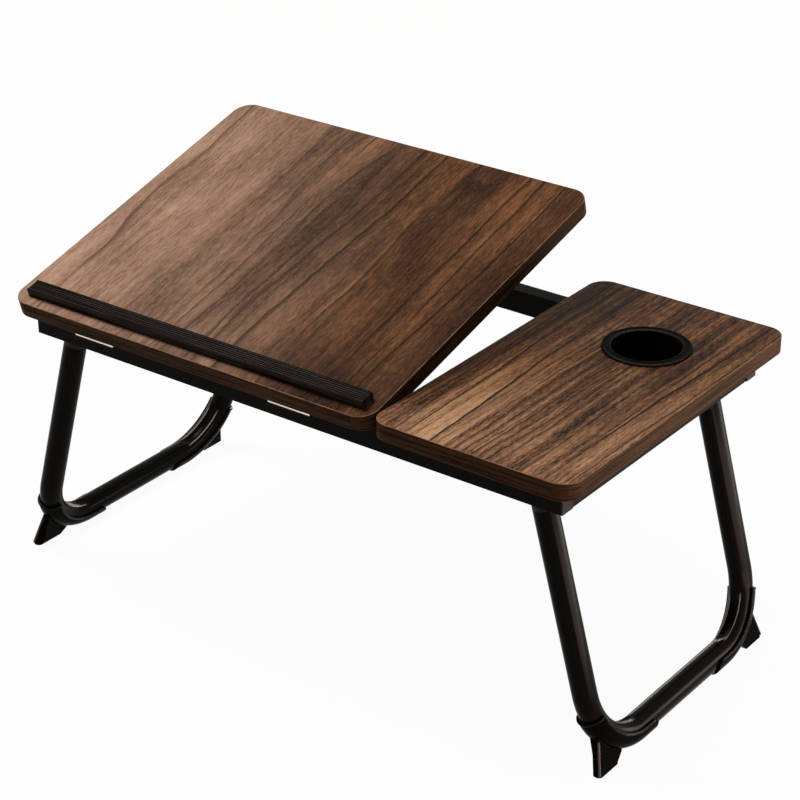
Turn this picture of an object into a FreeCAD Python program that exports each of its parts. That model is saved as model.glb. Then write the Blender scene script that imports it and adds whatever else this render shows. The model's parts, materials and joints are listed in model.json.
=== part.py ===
"""Folding laptop desk: a tilting board and a fixed side board with a cup holder on a steel rail
frame that stands on two fold-in tube legs.

Frame of the model: origin on the floor under the middle of the top, +X to the user's right,
-Y towards the user, +Z up.  Millimetres and degrees.  The tilting board is built lying flat and
is then turned to the angle that it stands at.
"""
import FreeCAD, Part
import math
import os

V = FreeCAD.Vector
X_AXIS = V(1, 0, 0)
Y_AXIS = V(0, 1, 0)
Z_AXIS = V(0, 0, 1)
ORIGIN = V(0, 0, 0)

# ---------------------------------------------------------------- driving dimensions: the top
top_width = 700.0
top_depth = 410.0
desk_height = 324.0
board_thickness = 18.0
side_board_width = 227.5
seam_gap = 1.5
tilt_board_setback = 6.5
board_corner_radius = 21.0
board_edge_round = 0.8
tilt_at_rest = 15.2
board_rest_gap = 0.3

# ---------------------------------------------------------------- the rail frame
rail_height = 26.0
rail_width = 18.0
rail_wall = 1.2
front_rail_inset = 20.5
rear_rail_inset = 28.5
rail_end_inset = 20.0
side_rail_recess = 1.0
side_rail_notch_width = 1.6
side_rail_notch_depth = 0.7
cap_thickness = 2.0
cap_plug_depth = 12.0
cap_plug_fit = 0.1
seam_rail_inset = 1.5

# ---------------------------------------------------------------- screws
panel_screw_radius = 2.0
panel_screw_length = 14.0
panel_screw_head_radius = 3.8
panel_screw_head_height = 2.4
screw_hole_fit = 0.1
screw_access_radius = 4.6
panel_screw_margin = 34.0
small_screw_radius = 1.3
small_screw_head_radius = 2.3
small_screw_sink = 0.9
small_screw_length = 9.0
leaf_rail_screw_length = 4.5

# ---------------------------------------------------------------- hinges of the tilting board
hinge_length = 52.4
hinge_left_inset = 101.8
hinge_right_inset = 110.5
leaf_thickness = 1.2
barrel_radius = 2.4
hinge_pin_radius = 1.1
hinge_pin_fit = 0.05
knuckle_count = 4
knuckle_end_gap = 0.3
knuckle_side_gap = 0.35
fixed_leaf_height = 12.1
moving_leaf_reach = 10.4
leaf_screw_margin = 8.0
leaf_screw_count = 3
fixed_leaf_screw_drop = 7.2

# ---------------------------------------------------------------- stop ledge
ledge_left_inset = 15.5
ledge_right_inset = 9.3
ledge_front_inset = 10.5
ledge_width = 18.0
ledge_height = 9.0
ledge_seat_depth = 0.4
ledge_seat_fit = 0.2
ledge_edge_round = 1.2
ledge_groove_width = 0.9
ledge_groove_depth = 0.7
ledge_groove_count = 5
ledge_groove_pitch = 2.5
ledge_screw_radius = 2.0
ledge_screw_bite = 5.0
ledge_screw_head_radius = 3.6
ledge_screw_head_height = 2.2
ledge_screw_pocket_depth = 3.0
ledge_screw_pocket_fit = 0.5
ledge_screw_margin = 40.0
ledge_screw_count = 3

# ---------------------------------------------------------------- cup holder
cup_right_inset = 97.5
cup_rear_inset = 117.5
cup_bore_radius = 36.0
cup_wall = 2.0
cup_flange_radius = 46.0
cup_flange_height = 2.0
cup_flange_round = 0.9
cup_hole_fit = 0.4
cup_seat_depth = 0.4
cup_seat_fit = 0.2
cup_depth = 40.0
cup_floor_round = 4.0

# ---------------------------------------------------------------- prop under the tilting board
prop_rod_radius = 3.0
prop_length = 150.0
prop_bend_radius = 9.0
prop_drop = 6.0
prop_width = 132.0
prop_stub_length = 22.0
prop_rail_gap = 2.0
prop_path_slope = 2.5
saddle_width = 14.0
saddle_base_length = 34.0
saddle_base_thickness = 2.5
saddle_wall = 2.2
saddle_pin_fit = 0.05
saddle_stub_margin = 3.0
saddle_screw_inset = 5.0
rack_width = 18.0
rack_bottom_lift = 1.0
rack_clearance = 0.3
rack_notch_depth = 1.6
rack_tilts = (15.2, 22.0, 29.0, 36.0)
rack_overhang = 8.0
rack_screw_radius = 1.5
rack_screw_head_radius = 2.6
rack_screw_head_height = 1.6
rack_screw_bite = 5.0
rack_screw_lift = 3.6
rack_screw_inset = 6.0

# ---------------------------------------------------------------- legs
tube_radius = 12.5
tube_wall = 1.2
leg_splay = 15.28
leg_bend_radius = 68.0
leg_front_offset = 21.5
leg_rear_offset = 41.5
leg_pivot_inset = 31.0
leg_pivot_drop = 16.0
pivot_pin_radius = 3.0
pivot_pin_fit = 0.05
pivot_pin_reach = 8.0
pivot_head_radius = 5.0
pivot_head_height = 1.5
tube_end_rise = 5.0
plug_depth = 26.0
plug_fit = 0.05
plug_stop_gap = 0.1
plug_swing_gap = 0.4

# ---------------------------------------------------------------- leg brackets
bracket_thickness = 2.0
bracket_front_setback = 4.5
bracket_side_margin = 2.0
bracket_ear_radius = 7.0
bracket_ear_gap = 0.5
bracket_tail = 14.0
bracket_inner_reach = 14.0
bracket_screw_radius = 2.0
bracket_screw_bite = 8.0
bracket_screw_head_radius = 3.6
bracket_screw_head_height = 2.0
bracket_screw_inset = 6.0
bracket_screw_spread = 18.0

# ---------------------------------------------------------------- feet
foot_shell_thickness = 2.65
foot_tube_fit = 0.15
foot_ground_gap = 0.4
foot_top_angle = 20.5
foot_bar_reach = 88.0
foot_lip_radius = 1.4
foot_end_round = 8.0
foot_fin_thickness = 10.0
foot_fin_nose_out = 10.0
foot_fin_heel_in = 22.0
foot_fin_heel_top_in = 33.0
foot_fin_heel_rise = 8.0
foot_fin_nose_top = 18.0
foot_fin_nose_round = 4.4
foot_fin_heel_round = 3.0
foot_screw_radius = 1.8
foot_screw_head_radius = 3.2
foot_screw_bite = 6.0
foot_screw_reach = 76.0

# ---------------------------------------------------------------- worked out from the above
top_left = -top_width / 2
top_right = top_width / 2
top_front = -top_depth / 2
top_rear = top_depth / 2
rail_top = desk_height - board_thickness
rail_bottom = rail_top - rail_height
front_rail_face = top_front + front_rail_inset
rear_rail_face = top_rear - rear_rail_inset
front_rail_back = front_rail_face + rail_width
rear_rail_front = rear_rail_face - rail_width
rail_left_end = top_left + rail_end_inset
rail_right_end = top_right - rail_end_inset
side_board_left = top_right - side_board_width
tilt_board_right = side_board_left - seam_gap
tilt_board_front = top_front + tilt_board_setback
tilt_board_bottom = rail_top + board_rest_gap
tilt_board_top = tilt_board_bottom + board_thickness
hinge_y = front_rail_face - barrel_radius
hinge_z = tilt_board_bottom - barrel_radius
hinge_centres = (top_left + hinge_left_inset, tilt_board_right - hinge_right_inset)
prop_centre = (top_left + tilt_board_right) / 2
prop_rail_half = prop_width / 2 + prop_rod_radius + prop_rail_gap + rail_width / 2
prop_rail_centres = (prop_centre - prop_rail_half, prop_centre + prop_rail_half)
pivot_x = rail_right_end - leg_pivot_inset
pivot_z = rail_bottom - leg_pivot_drop
leg_front_y = front_rail_face + leg_front_offset
leg_rear_y = rear_rail_face - leg_rear_offset
foot_inner_radius = tube_radius + foot_tube_fit
foot_outer_radius = foot_inner_radius + foot_shell_thickness
bar_height = foot_outer_radius + foot_ground_gap
leg_length = (pivot_z - bar_height) / math.cos(math.radians(leg_splay))


# ================================================================ small helpers
def box(x0, x1, y0, y1, z0, z1):
    """Box between two corners."""
    return Part.makeBox(x1 - x0, y1 - y0, z1 - z0, V(x0, y0, z0))


def rod(start, direction, radius, length):
    """Cylinder from a start point along a direction."""
    return Part.makeCylinder(radius, length, start, direction)


def prism(points, direction):
    """Solid made by pushing the closed outline of a list of points along a direction."""
    return Part.Face(Part.makePolygon(points + [points[0]])).extrude(direction)


def upright_edges(shape, axis):
    """Straight edges of a shape that run along an axis."""
    found = []
    for edge in shape.Edges:
        if isinstance(edge.Curve, Part.Line):
            if abs(abs(edge.Curve.Direction.dot(axis)) - 1.0) < 1e-6:
                found.append(edge)
    return found


def circles_at(shape, level):
    """Round edges of a turned shape that lie level at a height."""
    return [edge for edge in shape.Edges
            if isinstance(edge.Curve, Part.Circle) and abs(edge.Curve.Center.z - level) < 1e-6
            and abs(edge.CenterOfMass.z - level) < 1e-6]


def board(x0, x1, y0, y1, z0, z1):
    """Board with rounded corners and slightly softened top and bottom edges."""
    slab = box(x0, x1, y0, y1, z0, z1)
    slab = slab.makeFillet(board_corner_radius, upright_edges(slab, Z_AXIS))
    rims = [edge for face in slab.Faces if abs(face.normalAt(0, 0).z) > 0.99 for edge in face.Edges]
    return slab.makeFillet(board_edge_round, rims)


def screw(tip_side, direction, radius, length, head_radius, head_height):
    """Pan head screw: its shank starts at a point and runs along a direction, the head behind."""
    shank = rod(tip_side, direction, radius, length)
    head = rod(tip_side - direction * head_height, direction, head_radius, head_height)
    return head.fuse(shank)


def sunk_screw(face_point, direction, radius, length, head_radius, sink):
    """Countersunk screw whose flat head is level with a face."""
    cone = Part.makeCone(head_radius, radius, sink, face_point, direction)
    return cone.fuse(rod(face_point, direction, radius, length))


def sink_cut(face_point, direction, radius, length, head_radius, sink):
    """Hole for a countersunk screw, wider than its shank by the hole's fit."""
    cone = Part.makeCone(head_radius, radius, sink, face_point, direction)
    return cone.fuse(rod(face_point, direction, radius + screw_hole_fit, length + screw_hole_fit))


def even_spread(low, high, count):
    """Positions spread evenly from one end of a span to the other."""
    return [low + (high - low) * index / (count - 1) for index in range(count)]


def to_tilt(shape):
    """Turn a shape of the tilting board from lying flat to the angle that it stands at."""
    turned = shape.copy()
    turned.rotate(V(0, hinge_y, hinge_z), X_AXIS, tilt_at_rest)
    return turned


def export(name, shapes):
    """Write the solids of one sub-part to its STEP file."""
    solids = [solid for shape in shapes for solid in shape.Solids]
    result = solids[0] if len(solids) == 1 else Part.makeCompound(solids)
    result.exportStep("parts/" + name + ".step")


# ================================================================ frame
def box_tube(x0, x1, y0, y1, along_x):
    """Rectangular steel tube between the rail heights, open at both ends of its run."""
    outer = box(x0, x1, y0, y1, rail_bottom, rail_top)
    if along_x:
        inner = box(x0, x1, y0 + rail_wall, y1 - rail_wall,
                    rail_bottom + rail_wall, rail_top - rail_wall)
    else:
        inner = box(x0 + rail_wall, x1 - rail_wall, y0, y1,
                    rail_bottom + rail_wall, rail_top - rail_wall)
    return outer.cut(inner)


def panel_screw_points():
    """Where the side board is screwed down: over the front, rear, seam and right side rails."""
    seam_x = side_board_left + seam_rail_inset + rail_width / 2
    side_x = rail_right_end - side_rail_recess - rail_width / 2
    front_y = front_rail_face + rail_width / 2
    rear_y = rear_rail_face - rail_width / 2
    inner_x = seam_x + panel_screw_margin
    outer_x = side_x - rail_width / 2 - leg_pivot_inset - panel_screw_margin / 2
    return {
        "front_rail": [(inner_x, front_y), (outer_x, front_y)],
        "rear_rail": [(inner_x, rear_y), (outer_x, rear_y)],
        "seam_rail": [(seam_x, (front_y + rear_y) / 2)],
        "right_side_rail": [(side_x, (front_y + rear_y) / 2)],
    }


def drill_for_panel_screws(rail, name):
    """Access hole through the bottom wall and shank hole through the top wall of a rail."""
    for x, y in panel_screw_points().get(name, []):
        rail = rail.cut(rod(V(x, y, rail_bottom), Z_AXIS, screw_access_radius, rail_wall))
        rail = rail.cut(rod(V(x, y, rail_top - rail_wall), Z_AXIS,
                            panel_screw_radius + screw_hole_fit, rail_wall))
    return rail


def front_rail():
    """Front rail with holes for the fixed hinge leaves' screws."""
    tube = box_tube(rail_left_end + cap_thickness, rail_right_end - cap_thickness,
                    front_rail_face, front_rail_back, True)
    for x, z in fixed_leaf_screw_points():
        tube = tube.cut(rod(V(x, front_rail_face, z), Y_AXIS,
                            small_screw_radius + screw_hole_fit, rail_wall))
    return drill_for_panel_screws(tube, "front_rail")


def rear_rail():
    """Rear rail."""
    tube = box_tube(rail_left_end + cap_thickness, rail_right_end - cap_thickness,
                    rear_rail_front, rear_rail_face, True)
    return drill_for_panel_screws(tube, "rear_rail")


def rail_end_caps():
    """Plastic caps pushed into the four ends of the front and rear rails."""
    caps = []
    inner = rail_wall + cap_plug_fit
    for y0, y1 in ((front_rail_face, front_rail_back), (rear_rail_front, rear_rail_face)):
        for outer_end, inward in ((rail_left_end, 1.0), (rail_right_end, -1.0)):
            face_in = outer_end + inward * cap_thickness
            plug_in = face_in + inward * cap_plug_depth
            plate = box(min(outer_end, face_in), max(outer_end, face_in), y0, y1, rail_bottom, rail_top)
            plug = box(min(face_in, plug_in), max(face_in, plug_in), y0 + inner, y1 - inner,
                       rail_bottom + inner, rail_top - inner)
            caps.append(plate.fuse(plug))
    return caps


def side_rail(side):
    """Side rail between the front and rear rails; side is -1 for the left and +1 for the right."""
    outer_x = rail_right_end - side_rail_recess
    tube = box_tube(outer_x - rail_width, outer_x, front_rail_back, rear_rail_front, False)
    for y0 in (front_rail_back, rear_rail_front - side_rail_notch_width):
        tube = tube.cut(box(outer_x - side_rail_notch_depth, outer_x, y0, y0 + side_rail_notch_width,
                            rail_bottom, rail_top))
    for x, y in bracket_screw_points():
        tube = tube.cut(rod(V(x, y, rail_bottom), Z_AXIS,
                            bracket_screw_radius + screw_hole_fit, rail_wall))
    if side < 0:
        return tube.mirror(ORIGIN, X_AXIS)
    return drill_for_panel_screws(tube, "right_side_rail")


def seam_rail():
    """Rail under the side board's edge at the seam."""
    left = side_board_left + seam_rail_inset
    tube = box_tube(left, left + rail_width, front_rail_back, rear_rail_front, False)
    return drill_for_panel_screws(tube, "seam_rail")


def prop_rail(index):
    """Rail that carries one of the two racks under the tilting board."""
    centre = prop_rail_centres[index]
    tube = box_tube(centre - rail_width / 2, centre + rail_width / 2,
                    front_rail_back, rear_rail_front, False)
    inward = 1.0 if index == 0 else -1.0
    for y, z in rack_screw_points():
        start = centre + inward * (rail_width / 2 - rail_wall)
        tube = tube.cut(rod(V(start, y, z), V(inward, 0, 0),
                            rack_screw_radius + screw_hole_fit, rail_wall))
    return tube


# ================================================================ side board
def cup_centre():
    """Middle of the cup holder."""
    return top_right - cup_right_inset, top_rear - cup_rear_inset


def side_board():
    """Fixed board with a round hole for the cup holder and a shallow seat for its flange."""
    slab = board(side_board_left, top_right, top_front, top_rear, rail_top, desk_height)
    x, y = cup_centre()
    hole_radius = cup_bore_radius + cup_wall + cup_hole_fit
    slab = slab.cut(rod(V(x, y, rail_top), Z_AXIS, hole_radius, board_thickness))
    slab = slab.cut(rod(V(x, y, desk_height - cup_seat_depth), Z_AXIS,
                        cup_flange_radius + cup_seat_fit, cup_seat_depth))
    for points in panel_screw_points().values():
        for px, py in points:
            slab = slab.cut(rod(V(px, py, rail_top), Z_AXIS, panel_screw_radius + screw_hole_fit,
                                panel_screw_length - rail_wall + screw_hole_fit))
    return slab


def side_board_screws():
    """Screws that hold the side board, their heads inside the rails."""
    screws = []
    for points in panel_screw_points().values():
        for x, y in points:
            screws.append(screw(V(x, y, rail_top - rail_wall), Z_AXIS, panel_screw_radius,
                                panel_screw_length, panel_screw_head_radius, panel_screw_head_height))
    return screws


def cup_holder():
    """Cup with a flange that lies in the board's seat, turned about its upright axis."""
    x, y = cup_centre()
    top = desk_height + cup_flange_height
    bottom = top - cup_depth
    wall_radius = cup_bore_radius + cup_wall
    seat = desk_height - cup_seat_depth
    flange = rod(V(x, y, seat), Z_AXIS, cup_flange_radius, cup_seat_depth + cup_flange_height)
    body = rod(V(x, y, bottom), Z_AXIS, wall_radius, seat - bottom)
    cup = flange.fuse(body).cut(rod(V(x, y, bottom + cup_wall), Z_AXIS, cup_bore_radius, cup_depth))
    cup = cup.makeFillet(cup_flange_round, circles_at(cup, top))
    cup = cup.makeFillet(cup_floor_round, circles_at(cup, bottom))
    return cup.makeFillet(cup_floor_round - cup_wall, circles_at(cup, bottom + cup_wall))


# ================================================================ hinges
def knuckle_spans(centre):
    """Spans of the knuckles along the hinge: the fixed leaf has the even ones."""
    length = hinge_length / knuckle_count
    start = centre - hinge_length / 2
    return [(start + length * index, start + length * (index + 1)) for index in range(knuckle_count)]


def knuckle(x0, x1, bore_radius):
    """One rolled knuckle about the hinge axis."""
    start = V(x0, hinge_y, hinge_z)
    tube = rod(start, X_AXIS, barrel_radius, x1 - x0)
    return tube.cut(rod(start, X_AXIS, bore_radius, x1 - x0))


def leaf_screw_columns(centre):
    """Positions of the leaf screws along the hinge."""
    half = hinge_length / 2 - leaf_screw_margin
    return even_spread(centre - half, centre + half, leaf_screw_count)


def fixed_leaf_screw_points():
    """Screw points of the fixed leaves on the front rail's face, as pairs of X and Z."""
    return [(x, hinge_z - fixed_leaf_screw_drop)
            for centre in hinge_centres for x in leaf_screw_columns(centre)]


def hinge_fixed_leaf(centre):
    """Leaf on the front rail's face with its own knuckles, cut back beside the other leaf's."""
    back = front_rail_face
    leaf = box(centre - hinge_length / 2, centre + hinge_length / 2, back - leaf_thickness, back,
               hinge_z - fixed_leaf_height, hinge_z)
    reach = barrel_radius + knuckle_side_gap
    pin_bore = rod(V(centre - hinge_length / 2, hinge_y, hinge_z), X_AXIS,
                   hinge_pin_radius, hinge_length)
    for index, (x0, x1) in enumerate(knuckle_spans(centre)):
        if index % 2 == 0:
            leaf = leaf.fuse(knuckle(x0, x1, hinge_pin_radius))
        else:
            leaf = leaf.cut(box(x0 - knuckle_end_gap, x1 + knuckle_end_gap, back - leaf_thickness, back,
                                hinge_z - reach, hinge_z))
    leaf = leaf.cut(pin_bore)
    for x in leaf_screw_columns(centre):
        point = V(x, back - leaf_thickness, hinge_z - fixed_leaf_screw_drop)
        leaf = leaf.cut(sink_cut(point, Y_AXIS, small_screw_radius, leaf_thickness,
                                 small_screw_head_radius, small_screw_sink))
    return leaf


def hinge_moving_leaf(centre):
    """Leaf under the tilting board's front edge, reaching forward from the barrel."""
    top = tilt_board_bottom
    front = hinge_y - moving_leaf_reach
    leaf = box(centre - hinge_length / 2, centre + hinge_length / 2, front, hinge_y,
               top - leaf_thickness, top)
    reach = barrel_radius + knuckle_side_gap
    for index, (x0, x1) in enumerate(knuckle_spans(centre)):
        if index % 2 == 0:
            low = x0 - knuckle_end_gap
            high = x1 + knuckle_end_gap
            leaf = leaf.cut(box(low, high, hinge_y - reach, hinge_y, top - leaf_thickness, top))
        else:
            low = x0 + knuckle_end_gap
            high = x1 - knuckle_end_gap
            if index == knuckle_count - 1:
                high = x1
            leaf = leaf.fuse(knuckle(low, high, hinge_pin_radius + hinge_pin_fit))
    bore = rod(V(centre - hinge_length / 2, hinge_y, hinge_z), X_AXIS,
               hinge_pin_radius + hinge_pin_fit, hinge_length)
    leaf = leaf.cut(bore)
    for point in moving_leaf_screw_points(centre):
        leaf = leaf.cut(sink_cut(point, Z_AXIS, small_screw_radius, leaf_thickness,
                                 small_screw_head_radius, small_screw_sink))
    return leaf


def moving_leaf_screw_points(centre):
    """Screw points on the lower face of a moving leaf."""
    reach = barrel_radius + knuckle_side_gap
    y = hinge_y - (reach + moving_leaf_reach) / 2
    return [V(x, y, tilt_board_bottom - leaf_thickness) for x in leaf_screw_columns(centre)]


def hinge_pins():
    """Pins through the knuckles, held in the fixed leaves."""
    return [rod(V(centre - hinge_length / 2, hinge_y, hinge_z), X_AXIS, hinge_pin_radius, hinge_length)
            for centre in hinge_centres]


def fixed_leaf_screws():
    """Screws of the fixed leaves into the front rail."""
    return [sunk_screw(V(x, front_rail_face - leaf_thickness, z), Y_AXIS, small_screw_radius,
                       leaf_rail_screw_length, small_screw_head_radius, small_screw_sink)
            for x, z in fixed_leaf_screw_points()]


def moving_leaf_screws():
    """Screws of the moving leaves into the tilting board."""
    return [sunk_screw(point, Z_AXIS, small_screw_radius, small_screw_length,
                       small_screw_head_radius, small_screw_sink)
            for centre in hinge_centres for point in moving_leaf_screw_points(centre)]


# ================================================================ tilting board, lying flat
def ledge_span():
    """Ends of the stop ledge along X."""
    return top_left + ledge_left_inset, tilt_board_right - ledge_right_inset


def ledge_screw_points():
    """Where the stop ledge is screwed from below, as pairs of X and Y."""
    left, right = ledge_span()
    y = tilt_board_front + ledge_front_inset + ledge_width / 2
    return [(x, y) for x in even_spread(left + ledge_screw_margin, right - ledge_screw_margin,
                                        ledge_screw_count)]


def tilting_board():
    """Board that carries the laptop, with a shallow seat for the ledge and holes for the screws."""
    slab = board(top_left, tilt_board_right, tilt_board_front, top_rear,
                 tilt_board_bottom, tilt_board_top)
    left, right = ledge_span()
    seat_front = tilt_board_front + ledge_front_inset - ledge_seat_fit
    seat_back = seat_front + ledge_width + 2 * ledge_seat_fit
    slab = slab.cut(box(left - ledge_seat_fit, right + ledge_seat_fit, seat_front, seat_back,
                        tilt_board_top - ledge_seat_depth, tilt_board_top))
    pocket_radius = ledge_screw_head_radius + ledge_screw_pocket_fit
    for x, y in ledge_screw_points():
        slab = slab.cut(rod(V(x, y, tilt_board_bottom), Z_AXIS, pocket_radius, ledge_screw_pocket_depth))
        slab = slab.cut(rod(V(x, y, tilt_board_bottom), Z_AXIS,
                            ledge_screw_radius + screw_hole_fit, board_thickness))
    for centre in hinge_centres:
        for point in moving_leaf_screw_points(centre):
            slab = slab.cut(rod(point, Z_AXIS, small_screw_radius + screw_hole_fit,
                                small_screw_length + screw_hole_fit))
    for point in saddle_screw_points():
        slab = slab.cut(rod(point, Z_AXIS, small_screw_radius + screw_hole_fit,
                            small_screw_length + screw_hole_fit))
    return slab


def stop_ledge():
    """Bar that keeps the laptop from sliding off, with fine grooves along its top."""
    left, right = ledge_span()
    front = tilt_board_front + ledge_front_inset
    back = front + ledge_width
    top = tilt_board_top + ledge_height
    seat = tilt_board_top - ledge_seat_depth
    bar = box(left, right, front, back, seat, top)
    long_top = [edge for edge in upright_edges(bar, X_AXIS) if abs(edge.CenterOfMass.z - top) < 1e-6]
    bar = bar.makeFillet(ledge_edge_round, long_top)
    middle = (front + back) / 2
    span = ledge_groove_pitch * (ledge_groove_count - 1)
    for y in even_spread(middle - span / 2, middle + span / 2, ledge_groove_count):
        bar = bar.cut(box(left, right, y - ledge_groove_width / 2, y + ledge_groove_width / 2,
                          top - ledge_groove_depth, top))
    for x, y in ledge_screw_points():
        bar = bar.cut(rod(V(x, y, seat), Z_AXIS, ledge_screw_radius + screw_hole_fit,
                          ledge_seat_depth + ledge_screw_bite + screw_hole_fit))
    return bar


def ledge_screws():
    """Screws of the stop ledge, their heads in pockets of the board's lower face."""
    start = tilt_board_bottom + ledge_screw_pocket_depth
    length = board_thickness - ledge_screw_pocket_depth + ledge_screw_bite
    return [screw(V(x, y, start), Z_AXIS, ledge_screw_radius, length,
                  ledge_screw_head_radius, ledge_screw_head_height)
            for x, y in ledge_screw_points()]


# ================================================================ prop
def prop_pivot_flat():
    """Axis of the prop's pivot with the board lying flat, as Y and Z."""
    z = tilt_board_bottom - prop_drop
    rise = hinge_z - z
    return hinge_y + math.sqrt(prop_length ** 2 - rise ** 2), z


def prop_angle_at_hinge(tilt):
    """Angle at the board's hinge between the foot's straight path and the line to the pivot."""
    y, z = prop_pivot_flat()
    lean = math.degrees(math.atan2(hinge_z - z, y - hinge_y))
    return tilt - lean + prop_path_slope


def foot_bar_point(tilt):
    """Axis of the prop's foot bar at a tilt, as Y and Z: it runs on a straight line."""
    reach = 2 * prop_length * math.cos(math.radians(prop_angle_at_hinge(tilt)))
    slope = math.radians(prop_path_slope)
    return hinge_y + reach * math.cos(slope), hinge_z - reach * math.sin(slope)


def prop_pivot(tilt):
    """Axis of the prop's pivot at a tilt, as Y and Z."""
    angle = math.radians(prop_angle_at_hinge(tilt) - prop_path_slope)
    return hinge_y + prop_length * math.cos(angle), hinge_z + prop_length * math.sin(angle)


def bent_rod(points, bend_radius, radius):
    """Round rod along a path of straight runs joined by tangent arcs."""
    edges = []
    start = points[0]
    for index in range(1, len(points) - 1):
        before = (points[index - 1] - points[index]).normalize()
        after = (points[index + 1] - points[index]).normalize()
        half = before.getAngle(after) / 2
        setback = bend_radius / math.tan(half)
        centre_way = (before + after).normalize()
        first = points[index] + before * setback
        last = points[index] + after * setback
        centre = points[index] + centre_way * (bend_radius / math.sin(half))
        middle = centre - centre_way * bend_radius
        edges.append(Part.makeLine(start, first))
        edges.append(Part.Arc(first, middle, last).toShape())
        start = last
    edges.append(Part.makeLine(start, points[-1]))
    heading = (points[1] - points[0]).normalize()
    section = Part.Wire([Part.makeCircle(radius, points[0], heading)])
    return Part.Wire(edges).makePipeShell([section], True, False)


def prop_bail():
    """Steel rod bent to a rectangle that is open between its two pivot stubs."""
    pivot_y, pivot_height = prop_pivot(tilt_at_rest)
    foot_y, foot_height = foot_bar_point(tilt_at_rest)
    left = prop_centre - prop_width / 2
    right = prop_centre + prop_width / 2
    points = [
        V(left + prop_stub_length, pivot_y, pivot_height),
        V(left, pivot_y, pivot_height),
        V(left, foot_y, foot_height),
        V(right, foot_y, foot_height),
        V(right, pivot_y, pivot_height),
        V(right - prop_stub_length, pivot_y, pivot_height),
    ]
    return bent_rod(points, prop_bend_radius, prop_rod_radius)


def saddle_spans():
    """Ends of the two saddles along X: each holds the straight end of a pivot stub."""
    left = prop_centre - prop_width / 2 + prop_stub_length - saddle_stub_margin
    right = prop_centre + prop_width / 2 - prop_stub_length + saddle_stub_margin
    return (left - saddle_width + 2 * saddle_stub_margin, left + 2 * saddle_stub_margin), \
        (right - 2 * saddle_stub_margin, right + saddle_width - 2 * saddle_stub_margin)


def saddle(index):
    """Bearing block under the board with a flat base that takes two screws."""
    x0, x1 = saddle_spans()[index]
    y, z = prop_pivot_flat()
    block_radius = prop_rod_radius + saddle_wall
    top = tilt_board_bottom
    base = box(x0, x1, y - saddle_base_length / 2, y + saddle_base_length / 2,
               top - saddle_base_thickness, top)
    block = box(x0, x1, y - block_radius, y + block_radius, z, top)
    nose = rod(V(x0, y, z), X_AXIS, block_radius, x1 - x0)
    whole = base.fuse(block).fuse(nose)
    whole = whole.cut(rod(V(x0, y, z), X_AXIS, prop_rod_radius + saddle_pin_fit, x1 - x0))
    for point in saddle_screw_points():
        if x0 < point.x < x1:
            whole = whole.cut(sink_cut(point, Z_AXIS, small_screw_radius, saddle_base_thickness,
                                       small_screw_head_radius, small_screw_sink))
    return whole


def saddle_screw_points():
    """Screw points on the lower faces of the saddles' bases."""
    y, z = prop_pivot_flat()
    reach = saddle_base_length / 2 - saddle_screw_inset
    level = tilt_board_bottom - saddle_base_thickness
    return [V((x0 + x1) / 2, y + way * reach, level) for x0, x1 in saddle_spans() for way in (-1, 1)]


def saddle_screws():
    """Screws of the saddles into the board."""
    return [sunk_screw(point, Z_AXIS, small_screw_radius, small_screw_length,
                       small_screw_head_radius, small_screw_sink)
            for point in saddle_screw_points()]


def rack_ends():
    """Ends of the racks along Y, past the foot bar's first and last notch."""
    nearest = foot_bar_point(max(rack_tilts))[0] - rack_overhang
    farthest = foot_bar_point(0)[0] + rack_overhang
    return nearest, farthest


def rack_top(y):
    """Height of the racks' top edge, just under the foot bar's path."""
    path = hinge_z - (y - hinge_y) * math.tan(math.radians(prop_path_slope))
    return path - prop_rod_radius - rack_clearance


def rack_screw_points():
    """Where each rack is screwed to its rail, as pairs of Y and Z."""
    near, far = rack_ends()
    return [(near + rack_screw_inset, rail_bottom + rack_bottom_lift + rack_screw_lift),
            (far - rack_screw_inset, rail_bottom + rack_bottom_lift + rack_screw_lift)]


def rack_span(index):
    """Ends of a rack along X: it stands against its rail's inner face."""
    if index == 0:
        left = prop_rail_centres[0] + rail_width / 2
        return left, left + rack_width
    right = prop_rail_centres[1] - rail_width / 2
    return right - rack_width, right


def rack(index):
    """Rack with shallow notches at the tilts that the board is set to."""
    x0, x1 = rack_span(index)
    near, far = rack_ends()
    bottom = rail_bottom + rack_bottom_lift
    outline = [V(x0, near, bottom), V(x0, far, bottom), V(x0, far, rack_top(far)),
               V(x0, near, rack_top(near))]
    bar = prism(outline, V(x1 - x0, 0, 0))
    notch_radius = prop_rod_radius + rack_clearance
    for tilt in rack_tilts:
        y, z = foot_bar_point(tilt)
        bar = bar.cut(rod(V(x0, y, z - rack_notch_depth), X_AXIS, notch_radius, x1 - x0))
    for y, z in rack_screw_points():
        bar = bar.cut(rod(V(x0, y, z), X_AXIS, rack_screw_radius + screw_hole_fit, x1 - x0))
    return bar


def rack_screws():
    """Screws of the racks into their rails."""
    screws = []
    for index, inward in ((0, 1.0), (1, -1.0)):
        x0, x1 = rack_span(index)
        start = x1 if index == 0 else x0
        for y, z in rack_screw_points():
            screws.append(screw(V(start, y, z), V(-inward, 0, 0), rack_screw_radius,
                                rack_width + rack_screw_bite, rack_screw_head_radius,
                                rack_screw_head_height))
    return screws


# ================================================================ leg brackets
def bracket_plate_ends():
    """Outer and inner ends of a bracket's top plate along X, on the right side."""
    return pivot_x - bracket_inner_reach, rail_right_end - side_rail_recess - bracket_side_margin


def leg_rows():
    """The two legs of a U in Y, each with the way that points to the middle of the desk."""
    return ((leg_front_y, 1.0), (leg_rear_y, -1.0))


def ear_face(leg_y, inward):
    """Face of a bracket's ear that the leg runs along."""
    return leg_y + inward * (tube_radius + bracket_ear_gap)


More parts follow.
